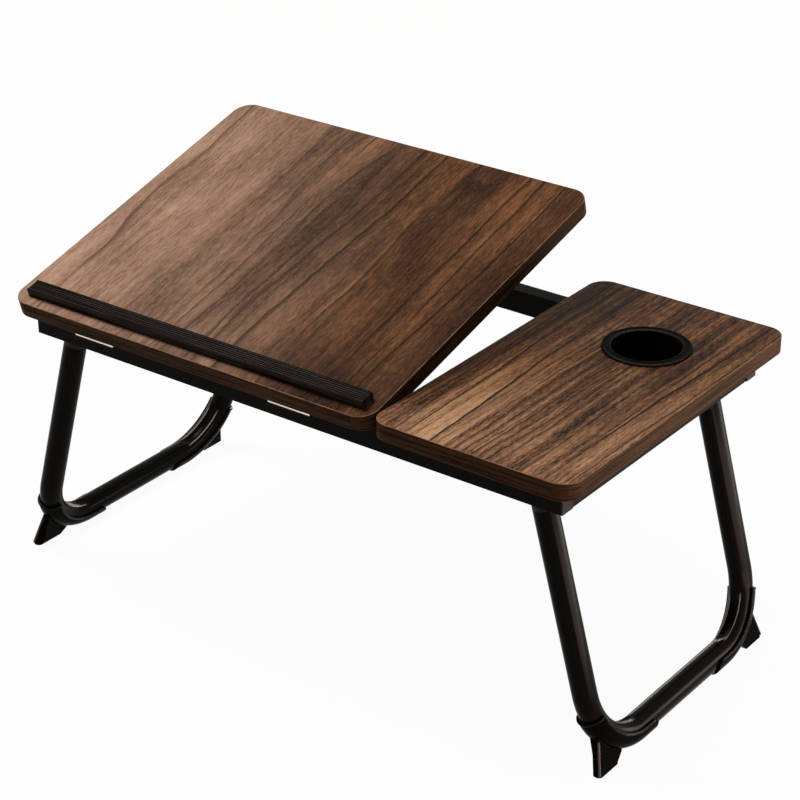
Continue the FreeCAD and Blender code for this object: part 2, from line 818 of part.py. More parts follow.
def bracket_screw_points():
    """Screws of the right side's brackets into the side rail, as pairs of X and Y."""
    x = rail_right_end - side_rail_recess - rail_width / 2
    points = []
    for leg_y, inward in leg_rows():
        far = ear_face(leg_y, inward) + inward * (bracket_thickness + bracket_tail - bracket_screw_inset)
        points.append((x, far))
        points.append((x, far - inward * bracket_screw_spread))
    return points


def leg_bracket(leg_y, inward):
    """Bent steel bracket: a stop plate under the rails and one ear beside the leg."""
    x0, x1 = bracket_plate_ends()
    face = ear_face(leg_y, inward)
    tail = face + inward * (bracket_thickness + bracket_tail)
    front = front_rail_face + bracket_front_setback if inward > 0 else leg_y + tube_radius
    y0 = min(front, tail)
    y1 = max(front, tail)
    plate = box(x0, x1, y0, y1, rail_bottom - bracket_thickness, rail_bottom)
    ear_start = min(face, face + inward * bracket_thickness)
    ear = rod(V(pivot_x, ear_start, pivot_z), Y_AXIS, bracket_ear_radius, bracket_thickness)
    web = box(pivot_x - bracket_ear_radius, pivot_x + bracket_ear_radius, ear_start,
              ear_start + bracket_thickness, pivot_z, rail_bottom - bracket_thickness)
    whole = plate.fuse(ear.fuse(web))
    whole = whole.cut(rod(V(pivot_x, ear_start, pivot_z), Y_AXIS, pivot_pin_radius, bracket_thickness))
    for x, y in bracket_screw_points():
        if y0 < y < y1:
            whole = whole.cut(rod(V(x, y, rail_bottom - bracket_thickness), Z_AXIS,
                                  bracket_screw_radius + screw_hole_fit, bracket_thickness))
    return whole.removeSplitter()


def bracket_screws():
    """Screws of the four brackets, heads below the stop plates."""
    screws = [screw(V(x, y, rail_bottom - bracket_thickness), Z_AXIS, bracket_screw_radius,
                    bracket_screw_bite, bracket_screw_head_radius, bracket_screw_head_height)
              for x, y in bracket_screw_points()]
    return screws + [shape.mirror(ORIGIN, X_AXIS) for shape in screws]


def pivot_pins():
    """Pins riveted in the ears that reach into the tube's ends, heads on the ears' far side."""
    pins = []
    for leg_y, inward in leg_rows():
        outward = V(0, -inward, 0)
        back = ear_face(leg_y, inward) + inward * bracket_thickness
        tip = leg_y - inward * pivot_pin_reach
        pins.append(screw(V(pivot_x, back, pivot_z), outward, pivot_pin_radius, abs(tip - back),
                          pivot_head_radius, pivot_head_height))
    return pins + [pin.mirror(ORIGIN, X_AXIS) for pin in pins]


# ================================================================ legs, built for the right side
# A leg is built standing upright with its pivot axis at the origin of X and Z, and is then
# turned by its splay and moved to the bracket's pivot.
def place_leg(shape):
    """Move an upright leg shape to its place on the right side of the desk."""
    placed = shape.copy()
    placed.rotate(ORIGIN, Y_AXIS, -leg_splay)
    placed.translate(V(pivot_x, 0, pivot_z))
    return placed


def leg_path():
    """Corner points of the U's centre line, from the front tube end to the rear one."""
    return [V(0, leg_front_y, tube_end_rise), V(0, leg_front_y, -leg_length),
            V(0, leg_rear_y, -leg_length), V(0, leg_rear_y, tube_end_rise)]


def pivot_bore(leg_y, inward, radius, reach):
    """Bore for a pivot pin from the tube's inner side to a depth past the tube's axis."""
    return rod(V(0, leg_y + inward * (tube_radius + bracket_ear_gap), 0), V(0, -inward, 0), radius,
               tube_radius + bracket_ear_gap + reach)


def leg_tube():
    """Bent steel tube with a bore for the pivot pin in the inner wall of each end."""
    outer = bent_rod(leg_path(), leg_bend_radius, tube_radius)
    inner = bent_rod(leg_path(), leg_bend_radius, tube_radius - tube_wall)
    tube = outer.cut(inner)
    for leg_y, inward in leg_rows():
        tube = tube.cut(pivot_bore(leg_y, inward, pivot_pin_radius + pivot_pin_fit, 0))
        tube = tube.cut(foot_screw_shape(leg_y, inward, screw_hole_fit))
    return place_leg(tube)


def end_plug(leg_y, inward):
    """Plug in the tube's end: its flat top stops the open leg, its round side lets it fold."""
    swing_radius = leg_pivot_drop - bracket_thickness - plug_swing_gap
    stop_height = leg_pivot_drop - bracket_thickness - plug_stop_gap
    core = rod(V(0, leg_y, tube_end_rise - plug_depth), Z_AXIS, tube_radius - tube_wall - plug_fit,
               plug_depth)
    head = rod(V(0, leg_y, tube_end_rise), Z_AXIS, tube_radius, 2 * tube_radius)
    plug = place_leg(core.fuse(head))
    big = 4 * tube_radius
    above = box(pivot_x - big, pivot_x + big, leg_y - big, leg_y + big,
                pivot_z + stop_height, pivot_z + stop_height + big)
    inner_half = box(pivot_x - big, pivot_x, leg_y - big, leg_y + big, pivot_z, pivot_z + big)
    swing = rod(V(pivot_x, leg_y - big, pivot_z), Y_AXIS, swing_radius, 2 * big)
    plug = plug.cut(above).cut(inner_half.cut(swing))
    bore = pivot_bore(leg_y, inward, pivot_pin_radius + pivot_pin_fit, pivot_pin_reach + pivot_pin_fit)
    return plug.cut(place_leg(bore))


# ================================================================ feet
def bend_centre(leg_y, inward):
    """Centre of the bend that joins a leg to the floor bar."""
    return V(0, leg_y + inward * leg_bend_radius, -leg_length + leg_bend_radius)


def bend_turn(inward):
    """Axis about which the bend turns from the leg down to the floor bar."""
    return X_AXIS * inward


def around_bend(face, leg_y, inward):
    """Sweep a face that stands across the tube's top of bend round to the floor bar."""
    return face.revolve(bend_centre(leg_y, inward), bend_turn(inward), 90 - foot_top_angle)


def half_ring(centre, outward, along, inner_radius, outer_radius):
    """Half of a flat ring about a centre, on the side that a direction points to."""
    side = outward.cross(along).normalize()
    outline = [
        Part.Arc(centre - side * outer_radius, centre + outward * outer_radius,
                 centre + side * outer_radius).toShape(),
        Part.makeLine(centre + side * outer_radius, centre + side * inner_radius),
        Part.Arc(centre + side * inner_radius, centre + outward * inner_radius,
                 centre - side * inner_radius).toShape(),
        Part.makeLine(centre - side * inner_radius, centre - side * outer_radius),
    ]
    return Part.Face(Part.Wire(outline))


def foot_shell(leg_y, inward):
    """Half pipe on the outside of the bend, with beaded edges along its sides and its top."""
    lip_centre = foot_outer_radius - foot_lip_radius / 2
    bar_start = V(0, leg_y + inward * leg_bend_radius, -leg_length)
    bar_length = foot_bar_reach - leg_bend_radius
    bar_way = V(0, inward, 0)
    top_turn = math.radians(foot_top_angle)
    centre = bend_centre(leg_y, inward)
    out_way = V(0, -inward * math.cos(top_turn), -math.sin(top_turn))
    top_point = centre + out_way * leg_bend_radius
    along = V(0, inward * math.sin(top_turn), -math.cos(top_turn))
    ring = half_ring(top_point, out_way, along, foot_inner_radius, foot_outer_radius)
    shell = around_bend(ring, leg_y, inward)
    low_ring = half_ring(bar_start, V(0, 0, -1), bar_way, foot_inner_radius, foot_outer_radius)
    shell = shell.fuse(low_ring.extrude(bar_way * bar_length))
    for way in (-1, 1):
        start = top_point + X_AXIS * (way * lip_centre)
        disc = Part.Face(Part.Wire([Part.makeCircle(foot_lip_radius, start, along)]))
        shell = shell.fuse(around_bend(disc, leg_y, inward))
        low = bar_start + X_AXIS * (way * lip_centre)
        shell = shell.fuse(rod(low, bar_way, foot_lip_radius, bar_length))
    first = top_point - X_AXIS * lip_centre
    disc = Part.Face(Part.Wire([Part.makeCircle(foot_lip_radius, first, out_way)]))
    turn = along if X_AXIS.cross(out_way).dot(along) < 0 else along * -1
    shell = shell.fuse(disc.revolve(top_point, turn, 180))
    for way in (-1, 1):
        shell = shell.fuse(Part.makeSphere(foot_lip_radius, top_point + X_AXIS * (way * lip_centre)))
    return shell.cut(foot_end_cut(leg_y, inward))


def foot_end_cut(leg_y, inward):
    """What is taken off the shell's bar end so that both lips end in a round corner."""
    end = leg_y + inward * foot_bar_reach
    start = end - inward * foot_end_round
    top = -leg_length + foot_lip_radius
    reach = foot_outer_radius + foot_lip_radius
    corner = box(-reach, reach, min(start, end), max(start, end), top - foot_end_round, top)
    keep = rod(V(-reach, start, top - foot_end_round), X_AXIS, foot_end_round, 2 * reach)
    return corner.cut(keep)


def foot_fin(leg_y, inward):
    """Slab under the bend that reaches to the floor, its nose rounded."""
    rise = leg_length
    floor = -bar_height / math.cos(math.radians(leg_splay))
    drop = foot_fin_thickness * math.tan(math.radians(leg_splay))
    half = foot_fin_thickness / 2

    def point(inwards, up):
        return V(-half, leg_y + inward * inwards, up - rise)

    outline = [
        point(-foot_fin_nose_out, floor - drop),
        point(foot_fin_heel_in, floor - drop),
        point(foot_fin_heel_in, floor),
        point(foot_fin_heel_top_in, floor + foot_fin_heel_rise),
        point(foot_fin_heel_top_in, leg_bend_radius),
        point(foot_fin_nose_round, leg_bend_radius),
        point(0, foot_fin_nose_top),
        point(-foot_fin_nose_out, floor),
    ]
    slab = prism(outline, V(foot_fin_thickness, 0, 0))
    nose_edges = []
    for edge in slab.Edges:
        ends = [vertex.Point for vertex in edge.Vertexes]
        outer = [(p.y - leg_y) * inward for p in ends]
        if abs(ends[0].x - ends[1].x) < 1e-6 and max(outer) < 1e-6:
            nose_edges.append(edge)
    slab = slab.makeFillet(foot_fin_nose_round, nose_edges)
    heel_corners = (point(foot_fin_heel_in, floor), point(foot_fin_heel_top_in, floor + foot_fin_heel_rise))
    heel_edges = [edge for edge in upright_edges(slab, X_AXIS) for corner in heel_corners
                  if edge.distToShape(Part.Vertex(corner))[0] < 1e-6]
    slab = slab.makeFillet(foot_fin_heel_round, heel_edges)
    core_radius = leg_bend_radius + foot_outer_radius - foot_shell_thickness / 2
    centre = bend_centre(leg_y, inward)
    core = rod(V(-half, centre.y, centre.z), X_AXIS, core_radius, foot_fin_thickness)
    return slab.cut(core)


def foot_screw_shape(leg_y, inward, fit):
    """Countersunk screw from under the foot's shell into the floor bar, or its hole."""
    face = V(0, leg_y + inward * foot_screw_reach, -leg_length - foot_outer_radius)
    length = foot_outer_radius - tube_radius + tube_wall + foot_screw_bite
    cone = Part.makeCone(foot_screw_head_radius, foot_screw_radius, foot_shell_thickness, face, Z_AXIS)
    return cone.fuse(rod(face, Z_AXIS, foot_screw_radius + fit, length + fit))


def foot(leg_y, inward):
    """Plastic foot: shell and fin in one piece, flat where it stands on the floor."""
    whole = foot_shell(leg_y, inward).fuse(foot_fin(leg_y, inward))
    whole = whole.cut(bent_rod(leg_path(), leg_bend_radius, foot_inner_radius))
    whole = place_leg(whole.cut(foot_screw_shape(leg_y, inward, screw_hole_fit)))
    big = top_width
    return whole.cut(box(-big, big, -big, big, -big, 0))


def foot_screws():
    """Screws of both feet of the right leg."""
    return [place_leg(foot_screw_shape(leg_y, inward, 0)) for leg_y, inward in leg_rows()]


# ================================================================ write the sub-parts
def write_frame():
    """Rails, caps, side board, cup holder, fixed hinge halves, racks and leg brackets."""
    export("front_rail", [front_rail()])
    export("rear_rail", [rear_rail()])
    export("left_side_rail", [side_rail(-1)])
    export("right_side_rail", [side_rail(1)])
    export("seam_rail", [seam_rail()])
    export("rail_end_caps", rail_end_caps())
    export("side_board", [side_board()])
    export("side_board_screws", side_board_screws())
    export("cup_holder", [cup_holder()])
    for name, index in (("left", 0), ("right", 1)):
        export(name + "_prop_rail", [prop_rail(index)])
        export(name + "_rack", [rack(index)])
        export(name + "_hinge_fixed_leaf", [hinge_fixed_leaf(hinge_centres[index])])
    export("rack_screws", rack_screws())
    export("hinge_pins", hinge_pins())
    export("fixed_leaf_screws", fixed_leaf_screws())
    for row, (leg_y, inward) in zip(("front", "rear"), leg_rows()):
        bracket = leg_bracket(leg_y, inward)
        export("right_" + row + "_bracket", [bracket])
        export("left_" + row + "_bracket", [bracket.mirror(ORIGIN, X_AXIS)])
    export("bracket_screws", bracket_screws())
    export("leg_pivot_pins", pivot_pins())


def write_tilting_board():
    """Tilting board with its ledge, moving hinge halves and saddles, and the prop."""
    export("tilting_board", [to_tilt(tilting_board())])
    export("stop_ledge", [to_tilt(stop_ledge())])
    export("ledge_screws", [to_tilt(shape) for shape in ledge_screws()])
    for name, index in (("left", 0), ("right", 1)):
        export(name + "_hinge_moving_leaf", [to_tilt(hinge_moving_leaf(hinge_centres[index]))])
        export(name + "_saddle", [to_tilt(saddle(index))])
    export("moving_leaf_screws", [to_tilt(shape) for shape in moving_leaf_screws()])
    export("saddle_screws", [to_tilt(shape) for shape in saddle_screws()])
    export("prop_bail", [prop_bail()])


def write_leg(name, mirrored):
    """One U-shaped leg with its end plugs, feet and foot screws."""
    def place(shape):
        return shape.mirror(ORIGIN, X_AXIS) if mirrored else shape

    export(name + "_leg_tube", [place(leg_tube())])
    export(name + "_foot_screws", [place(shape) for shape in foot_screws()])
    for row, (leg_y, inward) in zip(("front", "rear"), leg_rows()):
        export(name + "_" + row + "_plug", [place(end_plug(leg_y, inward))])
        export(name + "_" + row + "_foot", [place(foot(leg_y, inward))])


def main():
    os.makedirs("parts", exist_ok=True)
    write_frame()
    write_tilting_board()
    write_leg("right", False)
    write_leg("left", True)


main()
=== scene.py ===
"""Looks of the folding laptop desk: walnut boards, black steel frame and legs, plastic feet,
ledge and cup holder, and the bright hinge strips, on a pale floor in soft studio light.

Everything is in metres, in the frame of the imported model: +X to the user's right, -Y towards
the user, +Z up, origin on the floor under the middle of the top.
"""

import json
import math

import bmesh
import bpy
import numpy as np
from mathutils import Matrix, Vector


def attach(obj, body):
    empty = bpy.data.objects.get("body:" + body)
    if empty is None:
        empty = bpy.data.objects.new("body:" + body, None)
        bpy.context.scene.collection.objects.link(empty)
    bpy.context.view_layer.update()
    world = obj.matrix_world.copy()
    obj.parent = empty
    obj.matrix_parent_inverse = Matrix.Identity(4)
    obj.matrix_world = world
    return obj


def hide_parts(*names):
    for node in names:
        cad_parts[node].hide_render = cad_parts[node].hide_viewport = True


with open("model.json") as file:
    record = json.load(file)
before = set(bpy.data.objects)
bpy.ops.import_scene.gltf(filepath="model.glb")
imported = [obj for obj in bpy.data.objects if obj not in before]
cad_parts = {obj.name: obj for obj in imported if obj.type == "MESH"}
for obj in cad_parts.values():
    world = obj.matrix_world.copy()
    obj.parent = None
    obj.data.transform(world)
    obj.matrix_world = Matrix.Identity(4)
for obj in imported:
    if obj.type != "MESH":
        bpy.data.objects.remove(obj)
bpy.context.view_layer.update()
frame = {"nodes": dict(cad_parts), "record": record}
nodes = frame["nodes"]

MM = 0.001

# ---------------------------------------------------------------- camera
camera_place = (1.3446, -1.8079, 1.3674)
camera_target = (-0.01373, 0.03135, 0.20718)
camera_lens = 108.11
camera_sensor = 36.0
camera_reach = 50.0
camera_roll = math.radians(0.05)

# ---------------------------------------------------------------- floor and air
floor_radius = 9.0
floor_white = (0.93, 0.93, 0.93, 1)
floor_glow = 0.95                               # share of glow where the camera or gloss sees it
air_tint = (1, 0.985, 0.965, 1)
air_strength, air_seen_strength = 0.28, 0.95

# ---------------------------------------------------------------- sizes of the desk
tilt_angle = math.radians(15.2)
hinge_y, hinge_z = -186.9 * MM, 303.9 * MM      # line that the tilting board turns on
leaf_bright_y = (hinge_y - 7.5 * MM, hinge_y - 5.5 * MM)        # where the leaves begin to shine
leaf_bright_z = (hinge_z - 10.8 * MM, hinge_z - 10.3 * MM)      # and where they shine fully

side_board = (122.5 * MM, 350 * MM, -205 * MM, 205 * MM)        # left, right, front, rear
side_board_bottom = 306 * MM
tilting_board = (-350 * MM, 121 * MM, -198.5 * MM, 205 * MM)    # the same, lying flat
tilting_board_bottom = 306.3 * MM
board_thick = 18 * MM
board_corner = 21 * MM
board_edge_round = 0.8 * MM
band_proud = 0.02 * MM
band_corner_points = 37                         # close enough to keep the chords off the board
band_edge_points = 7
band_rim_highlight = (1.1 * MM, 0.7 * MM)                 # from the top: where the rim's painted highlight ends, where it is full
band_seam = (board_thick - 1.0 * MM, board_thick - 0.2 * MM)    # where it begins, where it is full

ledge_left, ledge_right = -334 * MM, 107.2 * MM
ledge_front = -185.8 * MM
ledge_seat = 323.9 * MM
ledge_wide = 18 * MM
ledge_high = 9.4 * MM
ledge_round = 0.9 * MM
ledge_flat = ledge_wide / 2 - ledge_round       # half of the ribbed top
ledge_ribs = 6
ledge_rib = 0.9 * MM
ledge_end = 0.8 * MM
ledge_end_shrink = 0.07                         # share that the profile loses at the very end

leg_pivot_x, leg_pivot_z = 299 * MM, 264 * MM
leg_splay = math.radians(15.28)
leg_front, leg_rear = -163 * MM, 135 * MM
leg_rise = 5 * MM                               # of the tube's ends over the pivot
leg_long = 257.4 * MM                           # from the pivot to the floor bar's axis
leg_bend = 68 * MM
tube_radius = 12.5 * MM
tube_wall = 1.2 * MM
tube_sides = 120
bend_rows = 46
end_row = 0.5 * MM                              # short, to keep the ends' shading to the ends

dent_deep = 2.8 * MM
dent_from, dent_to, dent_fade = 14.0, 94.0, 20.0    # degrees round the bend
dent_soft = 0.2 * MM
dent_crown = 1.8                                # 1 is a flat, more is hollow
crease_angle = math.acos((1 - dent_deep / tube_radius) ** (1 / dent_crown))
crease_inner, crease_outer = 0.06, 0.07         # how far its shine fades to each side, in radians

fin_half = 5 * MM
fin_nose_out, fin_nose_top, fin_nose_low = 10 * MM, 18 * MM, -16.3 * MM
fin_corner_inset, fin_corner_round = 0.82 * MM, 1.35 * MM
fin_bead_from, fin_bead_to = 0.05, 0.96         # shares of the way down the nose
foot_top_turn = math.radians(20.5)              # how far round the bend a foot begins
foot_reach = 82 * MM                            # how far along the floor bar its lips go
lip_out = 14.6 * MM
lip_round = 1.43 * MM
bead_sides = 14

cup_x, cup_y = 252.5 * MM, 87.5 * MM
cup_top = 326 * MM
cup_seat = 323.6 * MM
cup_deep = 40 * MM
cup_wall = 2 * MM
cup_bore = 36 * MM
cup_rim = 46 * MM
cup_lip_round, cup_rim_round = 0.9 * MM, 1.1 * MM
cup_inner_round, cup_outer_round = 2 * MM, 4 * MM   # between wall and floor
cup_step = 0.5 * MM                             # height and slope of the raised ring on the floor
cup_step_from, cup_step_to = 0.45, 0.8          # its place, as shares of the bore
dish_from, dish_to = cup_bore + 2.2 * MM, cup_rim - 2.4 * MM
dish_sunk, dish_deep = 0.2 * MM, 0.25 * MM          # its edge below the top, its middle below that
cup_sides = 96


# ================================================================ node tree helpers
def new_material(name):
    """Empty node material."""
    material = bpy.data.materials.new(name)
    material.use_nodes = True
    material.node_tree.nodes.clear()
    return material


def add(tree, kind, **settings):
    """Add a node of a kind to a tree and set its properties and input values."""
    node = tree.nodes.new(kind)
    for key, value in settings.items():
        if hasattr(node, key):
            setattr(node, key, value)
        else:
            node.inputs[key.replace("_", " ")].default_value = value
    return node


def feed(tree, socket, value):
    """Link an input socket to another socket, or set it to a constant."""
    if isinstance(value, bpy.types.NodeSocket):
        tree.links.new(value, socket)
    else:
        socket.default_value = value


def math_node(tree, operation, first, second=None, clamp=False):
    """Math node on one or two values, each a socket or a number; returns its value socket."""
    node = add(tree, "ShaderNodeMath", operation=operation, use_clamp=clamp)
    feed(tree, node.inputs[0], first)
    if second is not None:
        feed(tree, node.inputs[1], second)
    return node.outputs[0]


def plus(tree, first, second):
    """Sum of two values, each a socket or a number."""
    return math_node(tree, "ADD", first, second)


def times(tree, first, second, clamp=False):
    """Product of two values, each a socket or a number, kept between 0 and 1 if clamped."""
    return math_node(tree, "MULTIPLY", first, second, clamp)


def minus(tree, first, second):
    """Difference of two values, each a socket or a number."""
    return math_node(tree, "SUBTRACT", first, second)


def centred(tree, value, width):
    """Value between 0 and 1, made to run over a width whose middle is 0."""
    return times(tree, minus(tree, value, 0.5), width)


def dot_product(tree, first, second):
    """Dot product of two vectors, each a socket or three numbers."""
    node = add(tree, "ShaderNodeVectorMath", operation="DOT_PRODUCT")
    feed(tree, node.inputs[0], first)
    feed(tree, node.inputs[1], second)
    return node.outputs["Value"]


def parts_of(tree, vector):
    """X, Y and Z of a vector socket, each a value socket."""
    node = add(tree, "ShaderNodeSeparateXYZ")
    tree.links.new(vector, node.inputs[0])
    return tuple(node.outputs)


def ramp(tree, value, low, high):
    """Smooth step of a value from 0 at low to 1 at high, where high may be the smaller one."""
    node = add(tree, "ShaderNodeMapRange", interpolation_type="SMOOTHSTEP",
               From_Min=low, From_Max=high)
    tree.links.new(value, node.inputs["Value"])
    return node.outputs["Result"]


def mix_colours(tree, share, under, over):
    """Two colours, each a socket or a colour, mixed by the share of the second one."""
    node = add(tree, "ShaderNodeMix", data_type="RGBA", clamp_factor=True)
    for index, value in ((0, share), (6, under), (7, over)):
        feed(tree, node.inputs[index], value)
    return node.outputs[2]


def srgb(code):
    """Colour as the shaders want it, from its web code such as 6b4a35."""
    parts = [int(code[i:i + 2], 16) / 255 for i in (0, 2, 4)]
    return tuple(p / 12.92 if p <= 0.04045 else ((p + 0.055) / 1.055) ** 2.4
                 for p in parts) + (1.0,)


def coordinates(tree):
    """Output sockets of the texture coordinates."""
    return add(tree, "ShaderNodeTexCoord").outputs


def mapped(tree, vector, scale=(1, 1, 1), turn=(0, 0, 0), place=(0, 0, 0)):
    """Vector socket stretched, then turned, then moved."""
    node = add(tree, "ShaderNodeMapping", Scale=scale, Rotation=turn, Location=place)
    tree.links.new(vector, node.inputs["Vector"])
    return node.outputs["Vector"]


def noise(tree, vector, scale, detail=2.0, roughness=0.5, place=(0, 0, 0)):
    """Noise on a vector socket, with one scale or with its own along X, Y and Z."""
    if isinstance(scale, tuple):
        vector, scale = mapped(tree, vector, scale, place=place), 1.0
    node = add(tree, "ShaderNodeTexNoise", Scale=scale, Detail=detail, Roughness=roughness)
    tree.links.new(vector, node.inputs["Vector"])
    return node.outputs["Fac"]


def bump(tree, height, strength, distance):
    """Normal socket of a surface that is raised by a height socket."""
    node = add(tree, "ShaderNodeBump", Strength=strength, Distance=distance)
    tree.links.new(height, node.inputs["Height"])
    return node.outputs[0]


def join_shader(tree, colour, roughness, normal, **constants):
    """Principled shader with its constants and its three sockets, joined to the output."""
    shader = add(tree, "ShaderNodeBsdfPrincipled", **constants)
    for key, socket in (("Base Color", colour), ("Roughness", roughness), ("Normal", normal)):
        tree.links.new(socket, shader.inputs[key])
    tree.links.new(shader.outputs[0], add(tree, "ShaderNodeOutputMaterial").inputs[0])


def paint_over(material, share, colour):
    """Lay a colour over the one that a material has, as far as the share says."""
    tree = material.node_tree
    shader = next(node for node in tree.nodes if node.type == "BSDF_PRINCIPLED")
    under = shader.inputs["Base Color"].links[0].from_socket
    tree.links.new(mix_colours(tree, share, under, srgb(colour)), shader.inputs["Base Color"])


# ================================================================ shared shader effects
def new_group(name, inputs, outputs):
    """Shader node group with named sockets; returns it, its given and its resulting sockets."""
    group = bpy.data.node_groups.new(name, "ShaderNodeTree")
    for way, sockets in (("INPUT", inputs), ("OUTPUT", outputs)):
        for socket, kind in sockets.items():
            group.interface.new_socket(socket, in_out=way, socket_type="NodeSocket" + kind)
    return group, add(group, "NodeGroupInput").outputs, add(group, "NodeGroupOutput").inputs


def use_group(tree, group, **values):
    """Place a group in a tree and feed its inputs; returns its output sockets."""
    node = add(tree, "ShaderNodeGroup", node_tree=group)
    for key, value in values.items():
        feed(tree, node.inputs[key], value)
    return node.outputs


def make_walnut_figure():
    """Walnut figure with its grain along Y: bands, clouds, streaks, growth lines, fibres, pores.

    Each layer is noise squeezed across the grain and drawn out along it, and adds from minus to
    plus half its strength to the tone.  The tone gives the dark colour at -0.5, the middle one at
    0 and the pale one at 0.5.
    """
    strengths = ("Wander", "Bands", "Clouds", "Streaks", "Fibres", "Lines", "Rings", "Flecks")
    group, given, result = new_group(
        "walnut_figure",
        {"Vector": "Vector", "Pale": "Color", "Middle": "Color", "Dark": "Color",
         **{strength: "Float" for strength in strengths}},
        {"Color": "Color", "Pores": "Float", "Height": "Float"})
    vector = given["Vector"]
    # the growth rings wander: X is pushed aside by slow noise, and a little by quick noise,
    # before anything is drawn on it
    shiver = 0.003
    drift = plus(group, centred(group, noise(group, vector, (7, 3.1, 1)), given["Wander"]),
                 centred(group, noise(group, vector, (90, 45, 1)), shiver))
    x, y, z = parts_of(group, vector)
    joined = add(group, "ShaderNodeCombineXYZ")
    for socket, value in zip(joined.inputs, (plus(group, x, drift), y, z)):
        group.links.new(value, socket)
    wandering = joined.outputs[0]

    tone = 0.0
    for strength, source, scale, detail, place in (
            ("Bands", wandering, (17, 1.6, 1), 2.0, (0.4, 0.1, 0)),
            ("Clouds", vector, (14, 7, 1), 3.0, (2.2, 0.6, 0)),
            ("Streaks", wandering, (260, 4.5, 1), 2.0, (1.7, 0.9, 0)),
            ("Fibres", vector, (620, 105, 1), 3.0, (3.1, 0.2, 0))):
        layer = ramp(group, noise(group, source, scale, detail, 0.6, place), 0.3, 0.7)
        tone = plus(group, tone, centred(group, layer, given[strength]))
    fibres = layer                              # the last of them
    pores = ramp(group, noise(group, vector, (760, 75, 1), 1.0), 0.6, 0.68)
    flecks = ramp(group, noise(group, vector, (620, 230, 1), 1.0, place=(0.3, 4.1, 0)), 0.66, 0.74)

    # rings per metre across, unevenly spaced; each starts with a sharp dark line and a soft shade
    # behind it, of its own strength, and breaks off here and there
    uneven = 7.0
    spread = noise(group, wandering, (11, 0.7, 1), place=(5.2, 0.3, 0))
    ring = plus(group, times(group, parts_of(group, wandering)[0], given["Rings"]),
                times(group, spread, uneven))
    depth = math_node(group, "FRACT", ring)
    own = add(group, "ShaderNodeTexWhiteNoise", noise_dimensions="1D")
    group.links.new(math_node(group, "FLOOR", ring), own.inputs["W"])
    line = plus(group, times(group, ramp(group, depth, 0.2, 0.05), 0.8),
                times(group, ramp(group, depth, 0.55, 0.1), 0.3))
    line = times(group, line, ramp(group, own.outputs["Value"], 0.0, 0.65))
    line = times(group, line, ramp(group, noise(group, vector, (60, 9, 1), 3.0), 0.26, 0.45))

    colour = given["Middle"]
    for share, over in (
            (times(group, tone, 2.0, clamp=True), "Pale"),
            (times(group, tone, -2.0, clamp=True), "Dark"),
            (times(group, line, given["Lines"]), "Dark"),
            (times(group, pores, times(group, given["Fibres"], 0.9), clamp=True), "Dark"),
            (times(group, flecks, given["Flecks"]), "Pale")):
        colour = mix_colours(group, share, colour, given[over])
    group.links.new(colour, result["Color"])
    group.links.new(pores, result["Pores"])
    group.links.new(minus(group, fibres, pores), result["Height"])
    return group


def make_edge_rub_and_sheen():
    """Mask of edges for abrasion and painted highlights: 1 on sharp outer edges, broken up by noise
    as far as Break says.
    """
    group, given, result = new_group(
        "edge_rub_and_sheen", {"Vector": "Vector", "Radius": "Float", "Break": "Float"},
        {"Mask": "Float"})
    bevel = add(group, "ShaderNodeBevel", samples=4)
    group.links.new(given["Radius"], bevel.inputs["Radius"])
    normal = add(group, "ShaderNodeNewGeometry").outputs["Normal"]
    edge = ramp(group, dot_product(group, bevel.outputs[0], normal), 0.995, 0.9)
    patches = ramp(group, noise(group, given["Vector"], 260.0, 3.0), 0.65, 0.4)
    kept = minus(group, 1.0, times(group, patches, given["Break"]))
    group.links.new(times(group, edge, kept), result["Mask"])
    return group


def make_fine_finish():
    """Small changes of gloss and height that paint and moulded plastic have."""
    cloud_scale, grain_scale, gloss_spread = 38.0, 900.0, 0.08
    group, given, result = new_group(
        "fine_finish", {"Vector": "Vector", "Roughness": "Float"},
        {"Roughness": "Float", "Height": "Float", "Cloud": "Float"})
    cloud = noise(group, given["Vector"], cloud_scale, 3.0)
    gloss = plus(group, given["Roughness"], centred(group, cloud, gloss_spread))
    group.links.new(gloss, result["Roughness"])
    group.links.new(noise(group, given["Vector"], grain_scale), result["Height"])
    group.links.new(cloud, result["Cloud"])
    return group


walnut_figure = make_walnut_figure()
edge_rub_and_sheen = make_edge_rub_and_sheen()
fine_finish = make_fine_finish()


